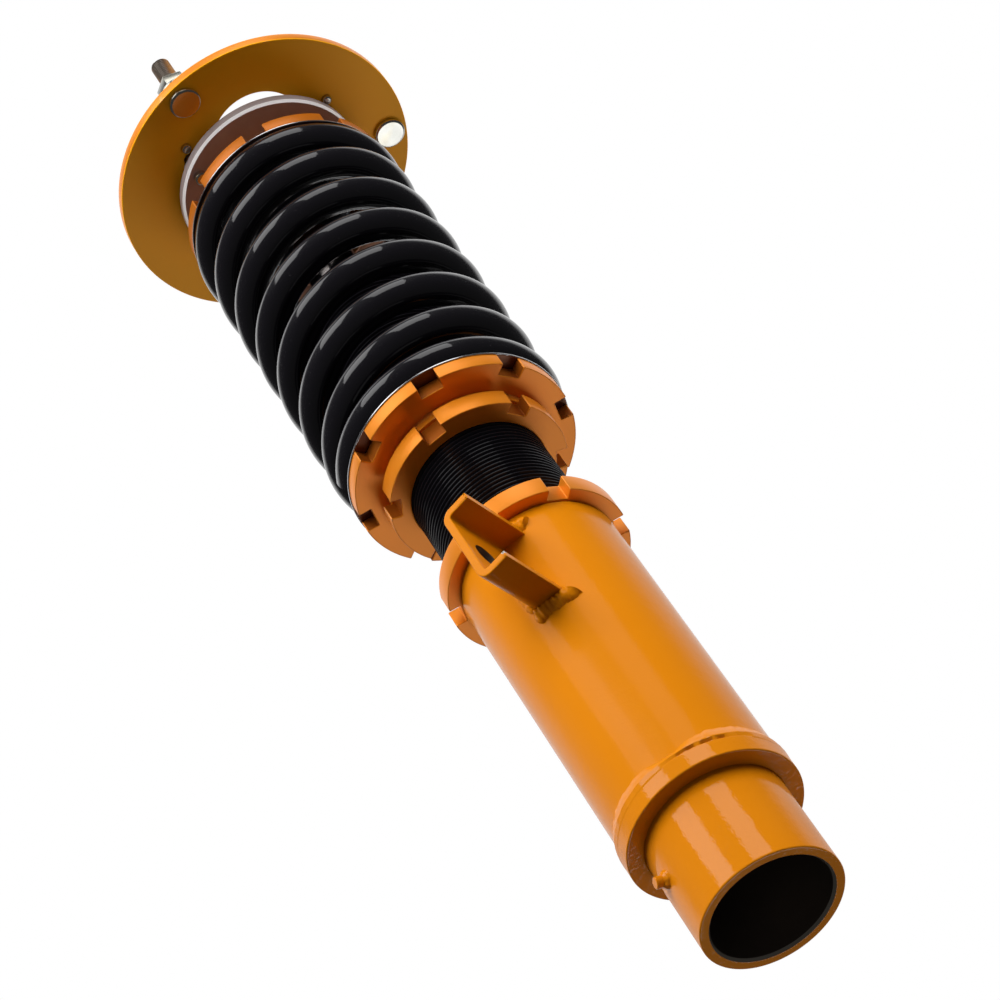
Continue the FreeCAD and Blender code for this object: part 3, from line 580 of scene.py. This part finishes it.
# Dark brown steel on the seat washers' faces is painted shade.
SHADED = steel("steel_painted_shade", (0.20, 0.10, 0.065), (0.13, 0.065, 0.04), 0.45)
ZINC = steel("zinc_plate", (0.66, 0.66, 0.62), (0.58, 0.58, 0.54), 0.24, False,
             tint=(0.62, 0.58, 0.46))
STUD_END = steel("stud_thread", (0.44, 0.37, 0.31), (0.28, 0.23, 0.19), 0.30, metal=0.9)
MACHINED = steel("machined_steel", (0.48, 0.48, 0.50), (0.36, 0.36, 0.38), 0.30)
ALUMINIUM = steel("turned_aluminium", (0.74, 0.71, 0.69), (0.62, 0.59, 0.57), 0.28, metal=0.6)
SHIM = steel("blued_shims", (0.36, 0.38, 0.46), (0.24, 0.25, 0.33), 0.25)
KNOB = anodised("knob_anodising", (0.92, 0.30, 0.03), (0.85, 0.25, 0.02), 0.26)
SEAL = soft("seal_rubber", (0.030, 0.030, 0.032), (0.018, 0.018, 0.020), 0.55, 2600)
FOAM = soft("bump_foam", (0.050, 0.050, 0.054), (0.030, 0.030, 0.034), 0.75, 1500)
LINER = soft("bearing_liner", (0.80, 0.77, 0.68), (0.72, 0.69, 0.60), 0.45, 3000)
# Finish of each material slot, for the nodes that keep their CAD mesh
KEPT = {"gold_paint": GOLD, "gold_anodised": ANODISED, "gold_plate": PLATE,
        "spring_black": SPRING, "black_thread": THREAD, "machined_steel": MACHINED,
        "bare_aluminium": ALUMINIUM, "seal_rubber": SEAL, "bump_rubber": FOAM,
        "bearing_liner": LINER, "shim_steel": SHIM, "hard_chrome": CHROME,
        "polished_steel": POLISHED, "bright_steel": BRIGHT, "zinc": ZINC,
        "knob_anodised": KNOB}


# --- lower bracket -------------------------------------------------------------------
def insert_tube():
    """Painted outside, a bore painted dark as shade, and a chamfer at the bottom of the bore
    lightened partly as rubbed metal and partly as a painted glint.
    """
    radius, low, high = span("insert_tube")

    def kind(r, z):
        if r < INSERT_BORE + 0.08:
            return 1
        return 2 if z < 1.3 and r < INSERT_BORE + 0.8 else 0
    form = Form()
    form.turn(soften([(INSERT_BORE, high, 0.3), (INSERT_BORE, low + 1.0, 0.15),
                      (INSERT_BORE + 0.9, low, 0.2), (radius, low, 0.55), (radius, high, 0.3)]),
              kind=kind)
    form.piece("insert_tube_painted", [WET_GOLD, BORE, RUBBED_GLINT], "insert_tube")


def locating_pin():
    radius, _, _ = span("insert_tube")
    aim = swing(PIN_TURN, up=PIN_HEIGHT) @ SIDEWAYS
    pin = Form()
    pin.turn(soften([(0, radius - 3, 0), (PIN_RADIUS, radius - 3, 0),
                     (PIN_RADIUS, PIN_TIP, 0.35), (0, PIN_TIP, 0)]), 48, aim)
    pin.piece("locating_pin_painted", [WET_GOLD], "locating_pin")

    def lumps(a, r, z):
        push = 0.35 * wander(math.cos(a) * 2, math.sin(a) * 2, z, 1.0) if r > 2.2 else 0
        return r + push, z + push * 0.5
    bead = Form()
    bead.turn(soften([(1.9, radius - 0.9, 0), (3.9, radius - 0.9, 0), (3.0, radius + 0.45, 0.6),
                      (2.2, radius + 1.5, 0.4), (1.9, radius + 1.5, 0)]), 48, aim, lumps)
    bead.piece("pin_weld_bead", [WET_GOLD], "pin_weld")


def collar():
    """Knuckle collar and the weld bead that joins it to the outer tube."""
    insert, _, _ = span("insert_tube")
    radius, low, high = span("knuckle_collar")
    tube, face, _ = span("outer_tube")
    form = Form()
    form.turn(soften([(insert, low), (radius, low, 0.5), (radius, face, 0.2), (TUBE_BORE, face, 0),
                      (TUBE_BORE, high, 0.3), (insert, high, 0.3)]))
    form.piece("knuckle_collar_painted", [WET_GOLD], "knuckle_collar")

    def ripple(a, r, z):
        c, s = math.cos(a) * 4.2, math.sin(a) * 4.2
        lump = wander(c, s, 0.3, 1.0) * 0.30 + wander(c * 3.6, s * 3.6, 5.0, 1.0) * 0.16
        if r > tube and z < face + 0.7:
            ragged = 0.75 + 0.7 * wander(c * 2.4, s * 2.4, 9.0, 1.0)
            slit = (math.cos(a - math.radians(CRACK_TURN)) - 0.86) * 9
            slit = min(1.0, max(0.0, slit * ragged))
            return (r + lump * 0.15 - CRACK_DEPTH * slit,
                    z + CRACK_LIFT * slit + lump * 0.5)
        off = math.remainder(a - math.radians(DIP_TURN), math.tau)
        if z > face + 1:
            dip = DIP_DEPTH * math.exp(-(off / DIP_WIDTH) ** 2)
            z = face + 1 + (z - face - 1) * (1 - dip)
        return (r + 0.02, z + lump * 2.4) if z > face + 3.4 else (r + lump * 0.8, z)
    bead = Form()
    bead.turn(soften([(tube - 0.6, face - 1.6, 0), (radius - 0.15, face - 1.6, 0.1),
                      (radius + 0.10, face - 0.1, 1.0), (radius + 0.12, face + 2.0, 1.2),
                      (radius - 0.5, face + 4.0, 1.8), (tube - 0.05, face + 6.4, 0.5),
                      (tube - 0.6, face + 6.4, 0)], 0.4, 6), 360, None, ripple)
    bead.piece("collar_weld_bead", [WET_GOLD], "collar_weld")


def outer_tube():
    radius, low, high = span("outer_tube")
    form = Form()
    form.turn(soften([(TUBE_BORE, low, 0), (radius, low, 0), (radius, high, 0.9),
                      (TUBE_BORE, high, 0.4)]))
    form.piece("outer_tube_painted", [GOLD], "outer_tube")


def link_bracket():
    """Folded channel: outer and inner bends, a punched hole, raw-sheared rims."""
    low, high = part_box("link_bracket")
    left, right, bottom, top = low.x / MM, high.x / MM, low.z / MM, high.z / MM
    reach, (tube, _, _) = low.y / MM, span("outer_tube")
    inner = max(0.8, LINK_BEND - SHEET)
    outline = soften([
        (left, bottom, LINK_BEND), (right, bottom, 0.3), (right, bottom + SHEET, 0.3),
        (left + SHEET, bottom + SHEET, inner), (left + SHEET, top - SHEET, inner),
        (right, top - SHEET, 0.3), (right, top, 0.3), (left, top, LINK_BEND)], steps=8)
    form = Form()
    form.prism([outline], reach, -(tube - 2.6), 0.45, lift=lambda x, y, z: (x, z, y))
    bracket = form.piece("link_bracket_folded", [GOLD], "link_bracket")
    drill, half = Form(), 12
    y, z = LINK_HOLE_AT
    drill.turn([(0, -half), (LINK_HOLE, -half), (LINK_HOLE, half), (0, half)], 64,
               Matrix.Translation((0, y, z)) @ SIDEWAYS)
    # The punched hole's wall takes the dark bore finish, painted shade.
    punch(bracket, drill.piece("drill", [BORE], None))


def punch(target, cutter):
    """Cuts one mesh out of another and keeps the result as plain mesh."""
    cut = target.modifiers.new("punch", "BOOLEAN")
    cut.operation, cut.solver, cut.object = "DIFFERENCE", "EXACT", cutter
    cut.material_mode = "TRANSFER"
    bpy.context.view_layer.update()
    shape = bpy.data.meshes.new_from_object(
        target.evaluated_get(bpy.context.evaluated_depsgraph_get()))
    target.modifiers.clear()
    target.data = shape
    shape.set_sharp_from_angle(angle=SHARP)
    bpy.data.objects.remove(cutter)


def link_welds():
    """Beads at the bracket's foot: under and over the flanges and down the web."""
    low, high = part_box("link_bracket")
    tube, _, _ = span("outer_tube")
    left, right, bottom, top = low.x / MM, high.x / MM, low.z / MM, high.z / MM

    def foot(x, z, deep):
        return Vector((x, -math.sqrt(tube ** 2 - x ** 2) + deep, z))
    lines, off, sunk, short = [], 1.7, 1.3, 1.5
    for z, out, thick in ((bottom, -1, 3.6), (top, 1, 3.0)):
        path = [foot(left - 1.2 + (right - left + 2.2) * k / 50, z + off * out, sunk)
                for k in range(51)]
        path += [foot(right + 1.0 + 0.10 * k, z + (off - 0.12 * k) * out, sunk)
                 for k in range(1, 9)]
        lines.append((path, thick))
    lines.append(([foot(left - 0.3, bottom + short + (top - bottom - 2 * short) * k / 70, 0.7)
                   for k in range(71)], 2.2))
    form = Form()
    for path, thick in lines:
        last = len(path) - 1

        def size(n):
            ends = min(1.0, 0.45 + 0.11 * min(n, last - n))
            return thick * (1 + 0.05 * math.sin(n * 1.1)) * ends
        form.sweep(path, size, 32, 0.24)
    form.piece("link_weld_beads", [GOLD], "link_welds")


# --- ring nuts and seats -------------------------------------------------------------
def ring_nut(node, turn, wall):
    """Slotted lock ring; wall is the finish inside its slots."""
    radius, low, high = span(node)
    form = Form()
    form.prism([slotted(radius, 6, *RING_SLOT, turn), circle(TUBE_BORE, steps=160)],
               low, high, 0.3)
    form.line_walls(TUBE_BORE + 1, radius - 0.5)
    form.piece(node + "_turned", [ANODISED, wall], node)


def lower_perch():
    """Slotted rim over a plain hub, with the register that centres the coil on top."""
    radius, low, high = span("lower_spring_perch")
    face = low + PERCH_HUB[1]
    seat = face + PERCH_THICK
    form = Form()
    form.prism([slotted(radius, 8, *PERCH_SLOT, PERCH_TURN), circle(TUBE_BORE, steps=160)],
               face, seat, 0.3)
    # Upright slot walls take the darker slot finish, painted shade.
    form.line_walls(TUBE_BORE + 1, radius - 0.5)
    form.turn(soften([(TUBE_BORE, low, 0.3), (PERCH_HUB[0], low, 0.3),
                      (PERCH_HUB[0], face + 1, 0), (TUBE_BORE, face + 1, 0)]))
    form.turn(soften([(TUBE_BORE, seat - 1, 0), (REGISTER, seat - 1, 0),
                      (REGISTER, high, 1.5), (TUBE_BORE, high, 0.5)]))
    form.piece("lower_spring_perch_turned", [ANODISED, SLOT_SHADE], "lower_spring_perch")


def upper_perch():
    """Slotted rim round an upturned cup that rests on the rod's shoulder."""
    radius, _, top = span("upper_spring_perch")
    low = span("upper_spring_washer")[2]
    high, lip, hub = low + PERCH_THICK, REGISTER, 15.0
    form = Form()
    form.prism([slotted(radius, 8, *PERCH_SLOT, PERCH_TURN), circle(lip - 2, steps=128)],
               low, high, 0.3)
    # Upright slot walls take the darker slot finish, painted shade.
    form.line_walls(lip - 1, radius - 0.5)
    form.turn(soften([
        (STUD_RADIUS, SHOULDER, 0.2), (lip - 3, SHOULDER, 1.2), (lip - 3, low - 6, 0.4),
        (lip - 1.2, low - 6, 0.8), (lip, low - 4.8, 0.8), (lip, high - 0.6, 0),
        (lip - 2, high - 0.6, 0), (lip - 2.5, SHOULDER + 6, 0.6), (hub + 1, SHOULDER + 6, 1.5),
        (hub, top, 0.5), (STUD_RADIUS, top, 0.3)]))
    # The upper perch takes the darker anodising as painted shade.
    form.piece("upper_spring_perch_turned", [UPPER_SHADE, SLOT_SHADE], "upper_spring_perch")


def seat_washers():
    """Thin washers under the coil's ends: a bright steel rim, and faces painted dark as shade."""
    for node in ("lower_spring_washer", "upper_spring_washer"):
        radius, low, high = span(node)
        form = Form()
        form.turn(soften([(REGISTER + 0.05, low), (radius, low), (radius, high),
                          (REGISTER + 0.05, high)], 0.25),
                  kind=lambda r, z: r < radius - 0.5)
        form.piece(node + "_rolled", [BRIGHT, SHADED], node)


def coil_spring():
    """Powder-coated wire on the same line as the CAD coil."""
    low = span("lower_spring_washer")[2] + WIRE_RADIUS
    high = span("upper_spring_washer")[1] - WIRE_RADIUS
    slope = COIL_PITCH / 360
    total = (high - low) / slope + 2 * COIL_DEAD + COIL_EASE

    def climb(angle):
        if angle <= COIL_DEAD:
            return 0.0
        if angle <= COIL_DEAD + COIL_EASE:
            return 0.5 * slope * (angle - COIL_DEAD) ** 2 / COIL_EASE
        return slope * (angle - COIL_DEAD - 0.5 * COIL_EASE)
    count, across = int(total / 3), 40
    # The cut ends are rounded off over three more rings
    shrink, reach = (0, 0, 0.35, 1.1), (0, 0.175, 0.375, 0.475)
    form, rings = Form(), []
    for n in range(-3, count + 4):
        turn = total * min(max(n, 0), count) / count
        height = low + climb(turn) if turn < total / 2 else high - climb(total - turn)
        a = math.radians(COIL_START + turn)
        out, along = Vector((math.cos(a), math.sin(a), 0)), Vector((-math.sin(a), math.cos(a), 0))
        over = max(-n, n - count, 0)
        radius = WIRE_RADIUS - shrink[over]
        centre = out * COIL_RADIUS + Vector((0, 0, height))
        centre += along * (-reach[over] if n < 0 else reach[over])
        ring = [centre + (out * math.cos(b) + Vector((0, 0, 1)) * math.sin(b)) * radius
                for b in (math.tau * k / across for k in range(across))]
        rings.append(form.loop(ring))
        if n in (-3, count + 3):
            form.bridge(rings[-1], form.loop([centre]))
    for first, second in zip(rings, rings[1:]):
        form.bridge(first, second)
    spring = form.piece("coil_spring_coated", [SPRING], "coil_spring")
    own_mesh(spring)


# --- damper --------------------------------------------------------------------------
def damper():
    """Threaded damper body with its gland nut and rod wiper."""
    radius, low, high = span("damper_tube")
    root = radius - BODY_THREAD[1] - 0.1
    form = Form()
    form.turn(soften([(DAMPER_BORE, low, 0.3), (radius, low, 0.8), (radius, THREAD_FROM, 0.4),
                      (root, THREAD_FROM + 1, 0), (root, high - 1, 0),
                      (radius - 2.0, high, 0.3), (DAMPER_BORE, high, 0.3)]), 128)
    form.thread(radius, *BODY_THREAD, THREAD_FROM, high - 1.2, 128)
    form.piece("damper_tube_threaded", [THREAD], "damper_tube")
    outer, bottom, top = span("gland_nut")
    seat = ROD_RADIUS + 3.5
    nut = Form()
    nut.prism([slotted(outer, 4, 5.0, 1.6, 0), circle(seat)], high, top, 0.5)
    nut.turn(soften([(ROD_RADIUS + 0.5, bottom, 0.2), (DAMPER_BORE, bottom, 0.3),
                     (DAMPER_BORE, high + 0.6, 0), (ROD_RADIUS + 0.5, high + 0.6, 0)]))
    nut.piece("gland_nut_turned", [THREAD], "gland_nut")
    _, foot, tip = span("rod_wiper")
    wiper = Form()
    wiper.turn(soften([(ROD_RADIUS + 0.05, foot, 0), (seat, foot, 0), (seat, top - 0.4, 0.8),
                       (ROD_RADIUS + 1.5, tip, 0.5), (ROD_RADIUS + 0.05, tip, 0.05)]), 128)
    wiper.piece("rod_wiper_lip", [SEAL], "rod_wiper")


def bump_stop():
    """Foam stop with a waist, moulded to sit on the rod."""
    radius, low, high = span("bump_stop")
    form = Form()
    form.turn(soften([(ROD_RADIUS, low, 0.6), (radius - 4, low, 1.6), (radius - 2, low + 3, 2),
                      (radius - 2, low + 6, 2), (radius - 4, low + 8.5, 2),
                      (radius - 2, low + 11, 2), (radius, low + 14, 2), (radius, high, 0.8),
                      (ROD_RADIUS, high, 0.4)], 1.0, 6), 128)
    form.piece("bump_stop_moulded", [FOAM], "bump_stop")


# --- top mount -----------------------------------------------------------------------
def mirrored(angle):
    """Four angles mirrored about the camber slot and through the axis."""
    return [SLOT_TURN + angle * sign + back for back in (0, 180) for sign in (1, -1)]


def polar(radius, turn):
    """The x and y of a point at a radius and a turn in degrees."""
    return radius * math.cos(math.radians(turn)), radius * math.sin(math.radians(turn))


def bolt_turns():
    return [SLOT_TURN + 90 + 120 * k for k in range(3)]


def top_plate():
    """Disc cut by the camber slot, four clamp slots, the studs' and the stop screws' holes."""
    radius, low, high = span("top_mount_plate")
    loops = [circle(radius, steps=256), stadium(SLOT_HALF, SLOT_RADIUS, SLOT_TURN)]
    along, across = polar(CLAMP_AT, CLAMP_TURN)
    for a in (1, -1):
        for b in (1, -1):
            loops.append(stadium(*CLAMP_SLOT, SLOT_TURN, along * a, across * b, 12))
    loops += [circle(STUD_NECK, *polar(BOLT_CIRCLE, turn), steps=48) for turn in bolt_turns()]
    loops += [circle(STOP_RADIUS, *polar(STOP_AT, turn), steps=32)
              for turn in mirrored(STOP_TURN)]
    form = Form()
    form.prism(loops, low, high, 0.35)
    form.line_walls(radius - 0.5, radius + 0.5)
    form.piece("top_mount_plate_cut", [PLATE, ANODISED], "top_mount_plate")


def housing():
    """Bright turned disc that carries the ball joint; its lower rim is chamfered and painted
    near-white as a highlight.
    """
    radius, low, _ = span("bearing_housing")
    top = low + FLANGE_THICK
    face = span("top_mount_plate")[1] - 0.05
    cup = span("bearing_cup")[0]
    rim, foot = radius - FLANGE_CHAMFER, low + FLANGE_CHAMFER
    form = Form()
    form.turn(soften([(cup, low, 0.2), (rim, low, 0), (radius, foot, 0),
                      (radius, top, 0.3), (STEP_RADIUS, top, 0), (STEP_RADIUS, face, 0.3),
                      (cup, face, 0.2)]),
              kind=lambda r, z: r > rim - 0.02 and z < foot + 0.02)
    for turn in mirrored(CLAMP_TURN):
        form.turn(soften([(3.0, top - 1, 0), (PAD_RADIUS, top - 1, 0), (PAD_RADIUS, face, 0.3),
                          (3.0, face, 0)]), 48, swing(turn, CLAMP_AT))
    form.piece("bearing_housing_turned", [DISC, CHAMFER], "bearing_housing")


def tower_fasteners():
    """Studs pressed in from below, with low flat heads, and their nuts and washers."""
    _, low, high = span("top_mount_plate")
    tip = span("tower_studs")[2]
    seat, top = span("tower_nuts")[1:]
    root = BOLT_RADIUS - BOLT_THREAD[1] - 0.1
    studs, nuts, washers = Form(), Form(), Form()
    for turn in bolt_turns():
        at = swing(turn, BOLT_CIRCLE)
        studs.turn(soften([(0, low - 2.5, 0), (STUD_HEAD - 0.7, low - 2.45, 0.5),
                           (STUD_HEAD, low - 1.9, 0.5), (STUD_HEAD, low, 0.2),
                           (0, low, 0)]), 64, at)
        studs.turn(soften([(0, low, 0), (STUD_NECK, low, 0), (STUD_NECK, top, 0.2),
                           (root, top + 0.6, 0), (root, tip - 0.6, 0), (root - 0.7, tip, 0.3),
                           (0, tip, 0)]), 48, at, kind=lambda r, z: z > top)
        studs.thread(BOLT_RADIUS, *BOLT_THREAD, top, tip - 0.7, 48, at, 1)
        washers.turn(soften([(STUD_NECK, high), (BOLT_WASHER, high), (BOLT_WASHER, seat),
                             (STUD_NECK, seat)], 0.3), 64, at)
        shift = Vector(polar(BOLT_CIRCLE, turn))
        nuts.prism([[p + shift for p in hexagon(BOLT_NUT, turn)],
                    circle(STUD_NECK, *shift, steps=48)], seat, top, 0.7)
    studs.piece("tower_studs_threaded", [ZINC, STUD_END], "tower_studs")
    nuts.piece("tower_nuts_hex", [ZINC], "tower_nuts")
    washers.piece("tower_washers_pressed", [ZINC], "tower_washers")


def knurled(radius, count, depth, x, y):
    """A circle with a groove at every fourth point."""
    points, steps = [], count * 4
    for k in range(steps):
        a, reach = math.tau * k / steps, radius - depth * (k % 4 == 0)
        points.append(Vector((x + reach * math.cos(a), y + reach * math.sin(a))))
    return points


def small_screws():
    """Socket screws that clamp the bearing to the plate, and the four that limit its travel."""
    foot = span("camber_screws")[1]
    face, top = span("camber_washers")[1:]
    clamps, rings = Form(), Form()
    for turn in mirrored(CLAMP_TURN):
        x, y = polar(CLAMP_AT, turn)
        at = swing(turn, CLAMP_AT)
        clamps.turn(soften([(0, foot, 0), (CLAMP_RADIUS, foot, 1.5),
                            (CLAMP_RADIUS, foot + 4, 0), (CLAMP_RADIUS, top + 1, 0),
                            (0, top + 1, 0)], steps=8), 48, at)
        head = knurled(CLAMP_HEAD, 30, 0.22, x, y)
        key = [p + Vector((x, y)) for p in hexagon(5.0, turn, 0.2)]
        clamps.prism([head, key], top + 2, top + 6, 0.35)
        clamps.prism([head], top, top + 2.6, 0.2)
        rings.turn(soften([(3.0, face), (CLAMP_WASHER, face), (CLAMP_WASHER, top),
                           (3.0, top)], 0.3), 64, at)
    clamps.piece("camber_screws_socket", [ZINC], "camber_screws")
    rings.piece("camber_washers_pressed", [ZINC], "camber_washers")
    foot, tip = span("slot_stop_screws")[1:]
    stops = Form()
    for turn in mirrored(STOP_TURN):
        x, y = polar(STOP_AT, turn)
        stops.turn(soften([(0, foot, 0), (STOP_RADIUS, foot, 1.0),
                           (STOP_RADIUS, foot + 2.5, 0), (STOP_RADIUS, tip - 2.2, 0),
                           (0, tip - 2.2, 0)], steps=6), 32, swing(turn, STOP_AT))
        key = [p + Vector((x, y)) for p in hexagon(2.0, turn, 0.1)]
        stops.prism([circle(STOP_RADIUS, x, y, 32), key], tip - 2.5, tip, 0.2)
    stops.piece("slot_stop_screws_socket", [ZINC], "slot_stop_screws")


def centre_nut_and_knob():
    """Rod nut on a round foot, and the fluted knob in the rod's end."""
    _, low, high = span("rod_nut")
    nut = Form()
    nut.prism([hexagon(ROD_NUT, 0, 0.8), circle(STUD_RADIUS)], low + 0.6, high, 1.0)
    nut.turn(soften([(STUD_RADIUS, low, 0.2), (NUT_FOOT, low, 0.3), (NUT_FOOT, low + 1.2, 0),
                     (STUD_RADIUS, low + 1.2, 0)]), 96)
    nut.piece("rod_nut_hex", [ZINC], "rod_nut")
    radius, base, top = span("damping_knob")
    knob = Form()
    knob.prism([slotted(radius, 12, 0.9, 0.7, 0, 0.15)], base, top, 0.6)
    knob.piece("damping_knob_fluted", [KNOB], "damping_knob")


for build in (insert_tube, locating_pin, collar, outer_tube, link_bracket, link_welds,
              lower_perch, upper_perch, seat_washers, coil_spring, damper, bump_stop,
              housing, top_plate, tower_fasteners, small_screws, centre_nut_and_knob):
    build()
ring_nut("body_lock_ring", BODY_RING_TURN, ANODISED)
# The perch lock ring's slot walls take the darker slot finish, painted shade.
ring_nut("perch_lock_ring", LOCK_TURN, SLOT_SHADE)
for node, obj in frame["nodes"].items():
    obj.data.materials.clear()
    obj.data.materials.append(KEPT[SLOT_OF[node]])


# --- studio --------------------------------------------------------------------------
LIT_POINT = Vector((0, 0, 0.2))


def aimed(obj, at, target, roll=0.0):
    """Puts a camera or light at a point, looking at another."""
    obj.location = at
    look = (Vector(target) - Vector(at)).to_track_quat("-Z", "Y")
    obj.rotation_euler = (look @ Matrix.Rotation(math.radians(roll), 3, "Z").to_quaternion()
                          ).to_euler()


def camera():
    """The low view of the strut, from its bracket's side."""
    data = bpy.data.cameras.new("photo_camera")
    data.lens, data.sensor_width = LENS, 36.0
    data.clip_start, data.clip_end = 0.01, 50
    obj = bpy.data.objects.new("photo_camera", data)
    bpy.context.scene.collection.objects.link(obj)
    aimed(obj, CAMERA_AT, LOOK_AT, CAMERA_ROLL)
    bpy.context.scene.camera = obj


def softbox(name, azimuth, elevation, width, height, power, distance, glossy=False):
    """A rectangular light aimed at the strut; azimuth 0 is at -Y and 90 at +X. Only a glossy
    one shows as a reflection."""
    data = bpy.data.lights.new(name, "AREA")
    data.shape, data.size, data.size_y, data.energy = "RECTANGLE", width, height, power
    obj = bpy.data.objects.new(name, data)
    bpy.context.scene.collection.objects.link(obj)
    a, e = math.radians(azimuth), math.radians(elevation)
    way = Vector((math.sin(a) * math.cos(e), -math.cos(a) * math.cos(e), math.sin(e)))
    aimed(obj, LIT_POINT + way * distance, LIT_POINT)
    obj.visible_camera, obj.visible_glossy = False, glossy


def studio():
    softbox("strip_left", -13, 43, 0.60, 0.90, 3.6, 1.3, True)
    softbox("strip_right", 47, 43, 0.60, 0.90, 3.0, 1.3, True)
    softbox("under_box", 196, -57, 1.80, 1.50, 15.5, 3.0, True)
    softbox("key", 5, 22, 1.0, 1.0, 38.0, 1.6)
    softbox("side_left", -70, 20, 0.9, 0.9, 12.0, 1.6)
    softbox("side_right", 103, 15, 0.9, 0.9, 20.0, 1.6)
    softbox("under_fill", 196, -62, 1.2, 1.2, 2.4, 1.6)
    softbox("front_fill", 0, -50, 1.2, 1.2, 1.7, 1.6)
    surroundings()
    bpy.context.scene.view_settings.view_transform = "Standard"


def surroundings():
    """White all round to the camera; as light it is bright behind the strut, dim elsewhere."""
    world = bpy.data.worlds.new("studio")
    bpy.context.scene.world = world
    world.use_nodes = True
    nodes, links = world.node_tree.nodes, world.node_tree.links
    back = nodes["Background"]
    where = nodes.new("ShaderNodeTexCoord").outputs["Generated"]
    facing = nodes.new("ShaderNodeVectorMath")
    facing.operation = "DOT_PRODUCT"
    links.new(where, facing.inputs[0])
    facing.inputs[1].default_value = (Vector(LOOK_AT) - Vector(CAMERA_AT)).normalized()
    sweep = nodes.new("ShaderNodeMapRange")
    sweep.interpolation_type = "SMOOTHSTEP"
    for socket, value in (("From Min", 0.45), ("From Max", 0.75), ("To Min", 0.05),
                          ("To Max", 1.0)):
        sweep.inputs[socket].default_value = value
    links.new(facing.outputs["Value"], sweep.inputs["Value"])
    seen = nodes.new("ShaderNodeLightPath").outputs["Is Camera Ray"]
    level = nodes.new("ShaderNodeMix")
    links.new(seen, level.inputs["Factor"])
    links.new(sweep.outputs["Result"], level.inputs["A"])
    level.inputs["B"].default_value = 1.0
    links.new(level.outputs["Result"], back.inputs["Strength"])
    back.inputs["Color"].default_value = (1, 1, 1, 1)


def floor():
    """A pale floor well below the strut; the low camera looks past it."""
    half, height = 16.0, -3.3
    mesh = bpy.data.meshes.new("floor")
    mesh.from_pydata([(-half, -half, height), (half, -half, height), (half, half, height),
                      (-half, half, height)], [], [(0, 1, 2, 3)])
    f = Finish("pale_floor", Roughness=0.7, Specular_IOR_Level=0.1, Emission_Strength=0.35,
               Emission_Color=(1, 1, 1, 1))
    f.colour(f.mix(f.noise(1.5, 3), (0.90, 0.90, 0.90), (0.94, 0.94, 0.94)))
    mesh.materials.append(f.material)
    obj = bpy.data.objects.new("floor", mesh)
    bpy.context.scene.collection.objects.link(obj)
    obj.visible_diffuse = obj.visible_glossy = False


camera()
studio()
floor()
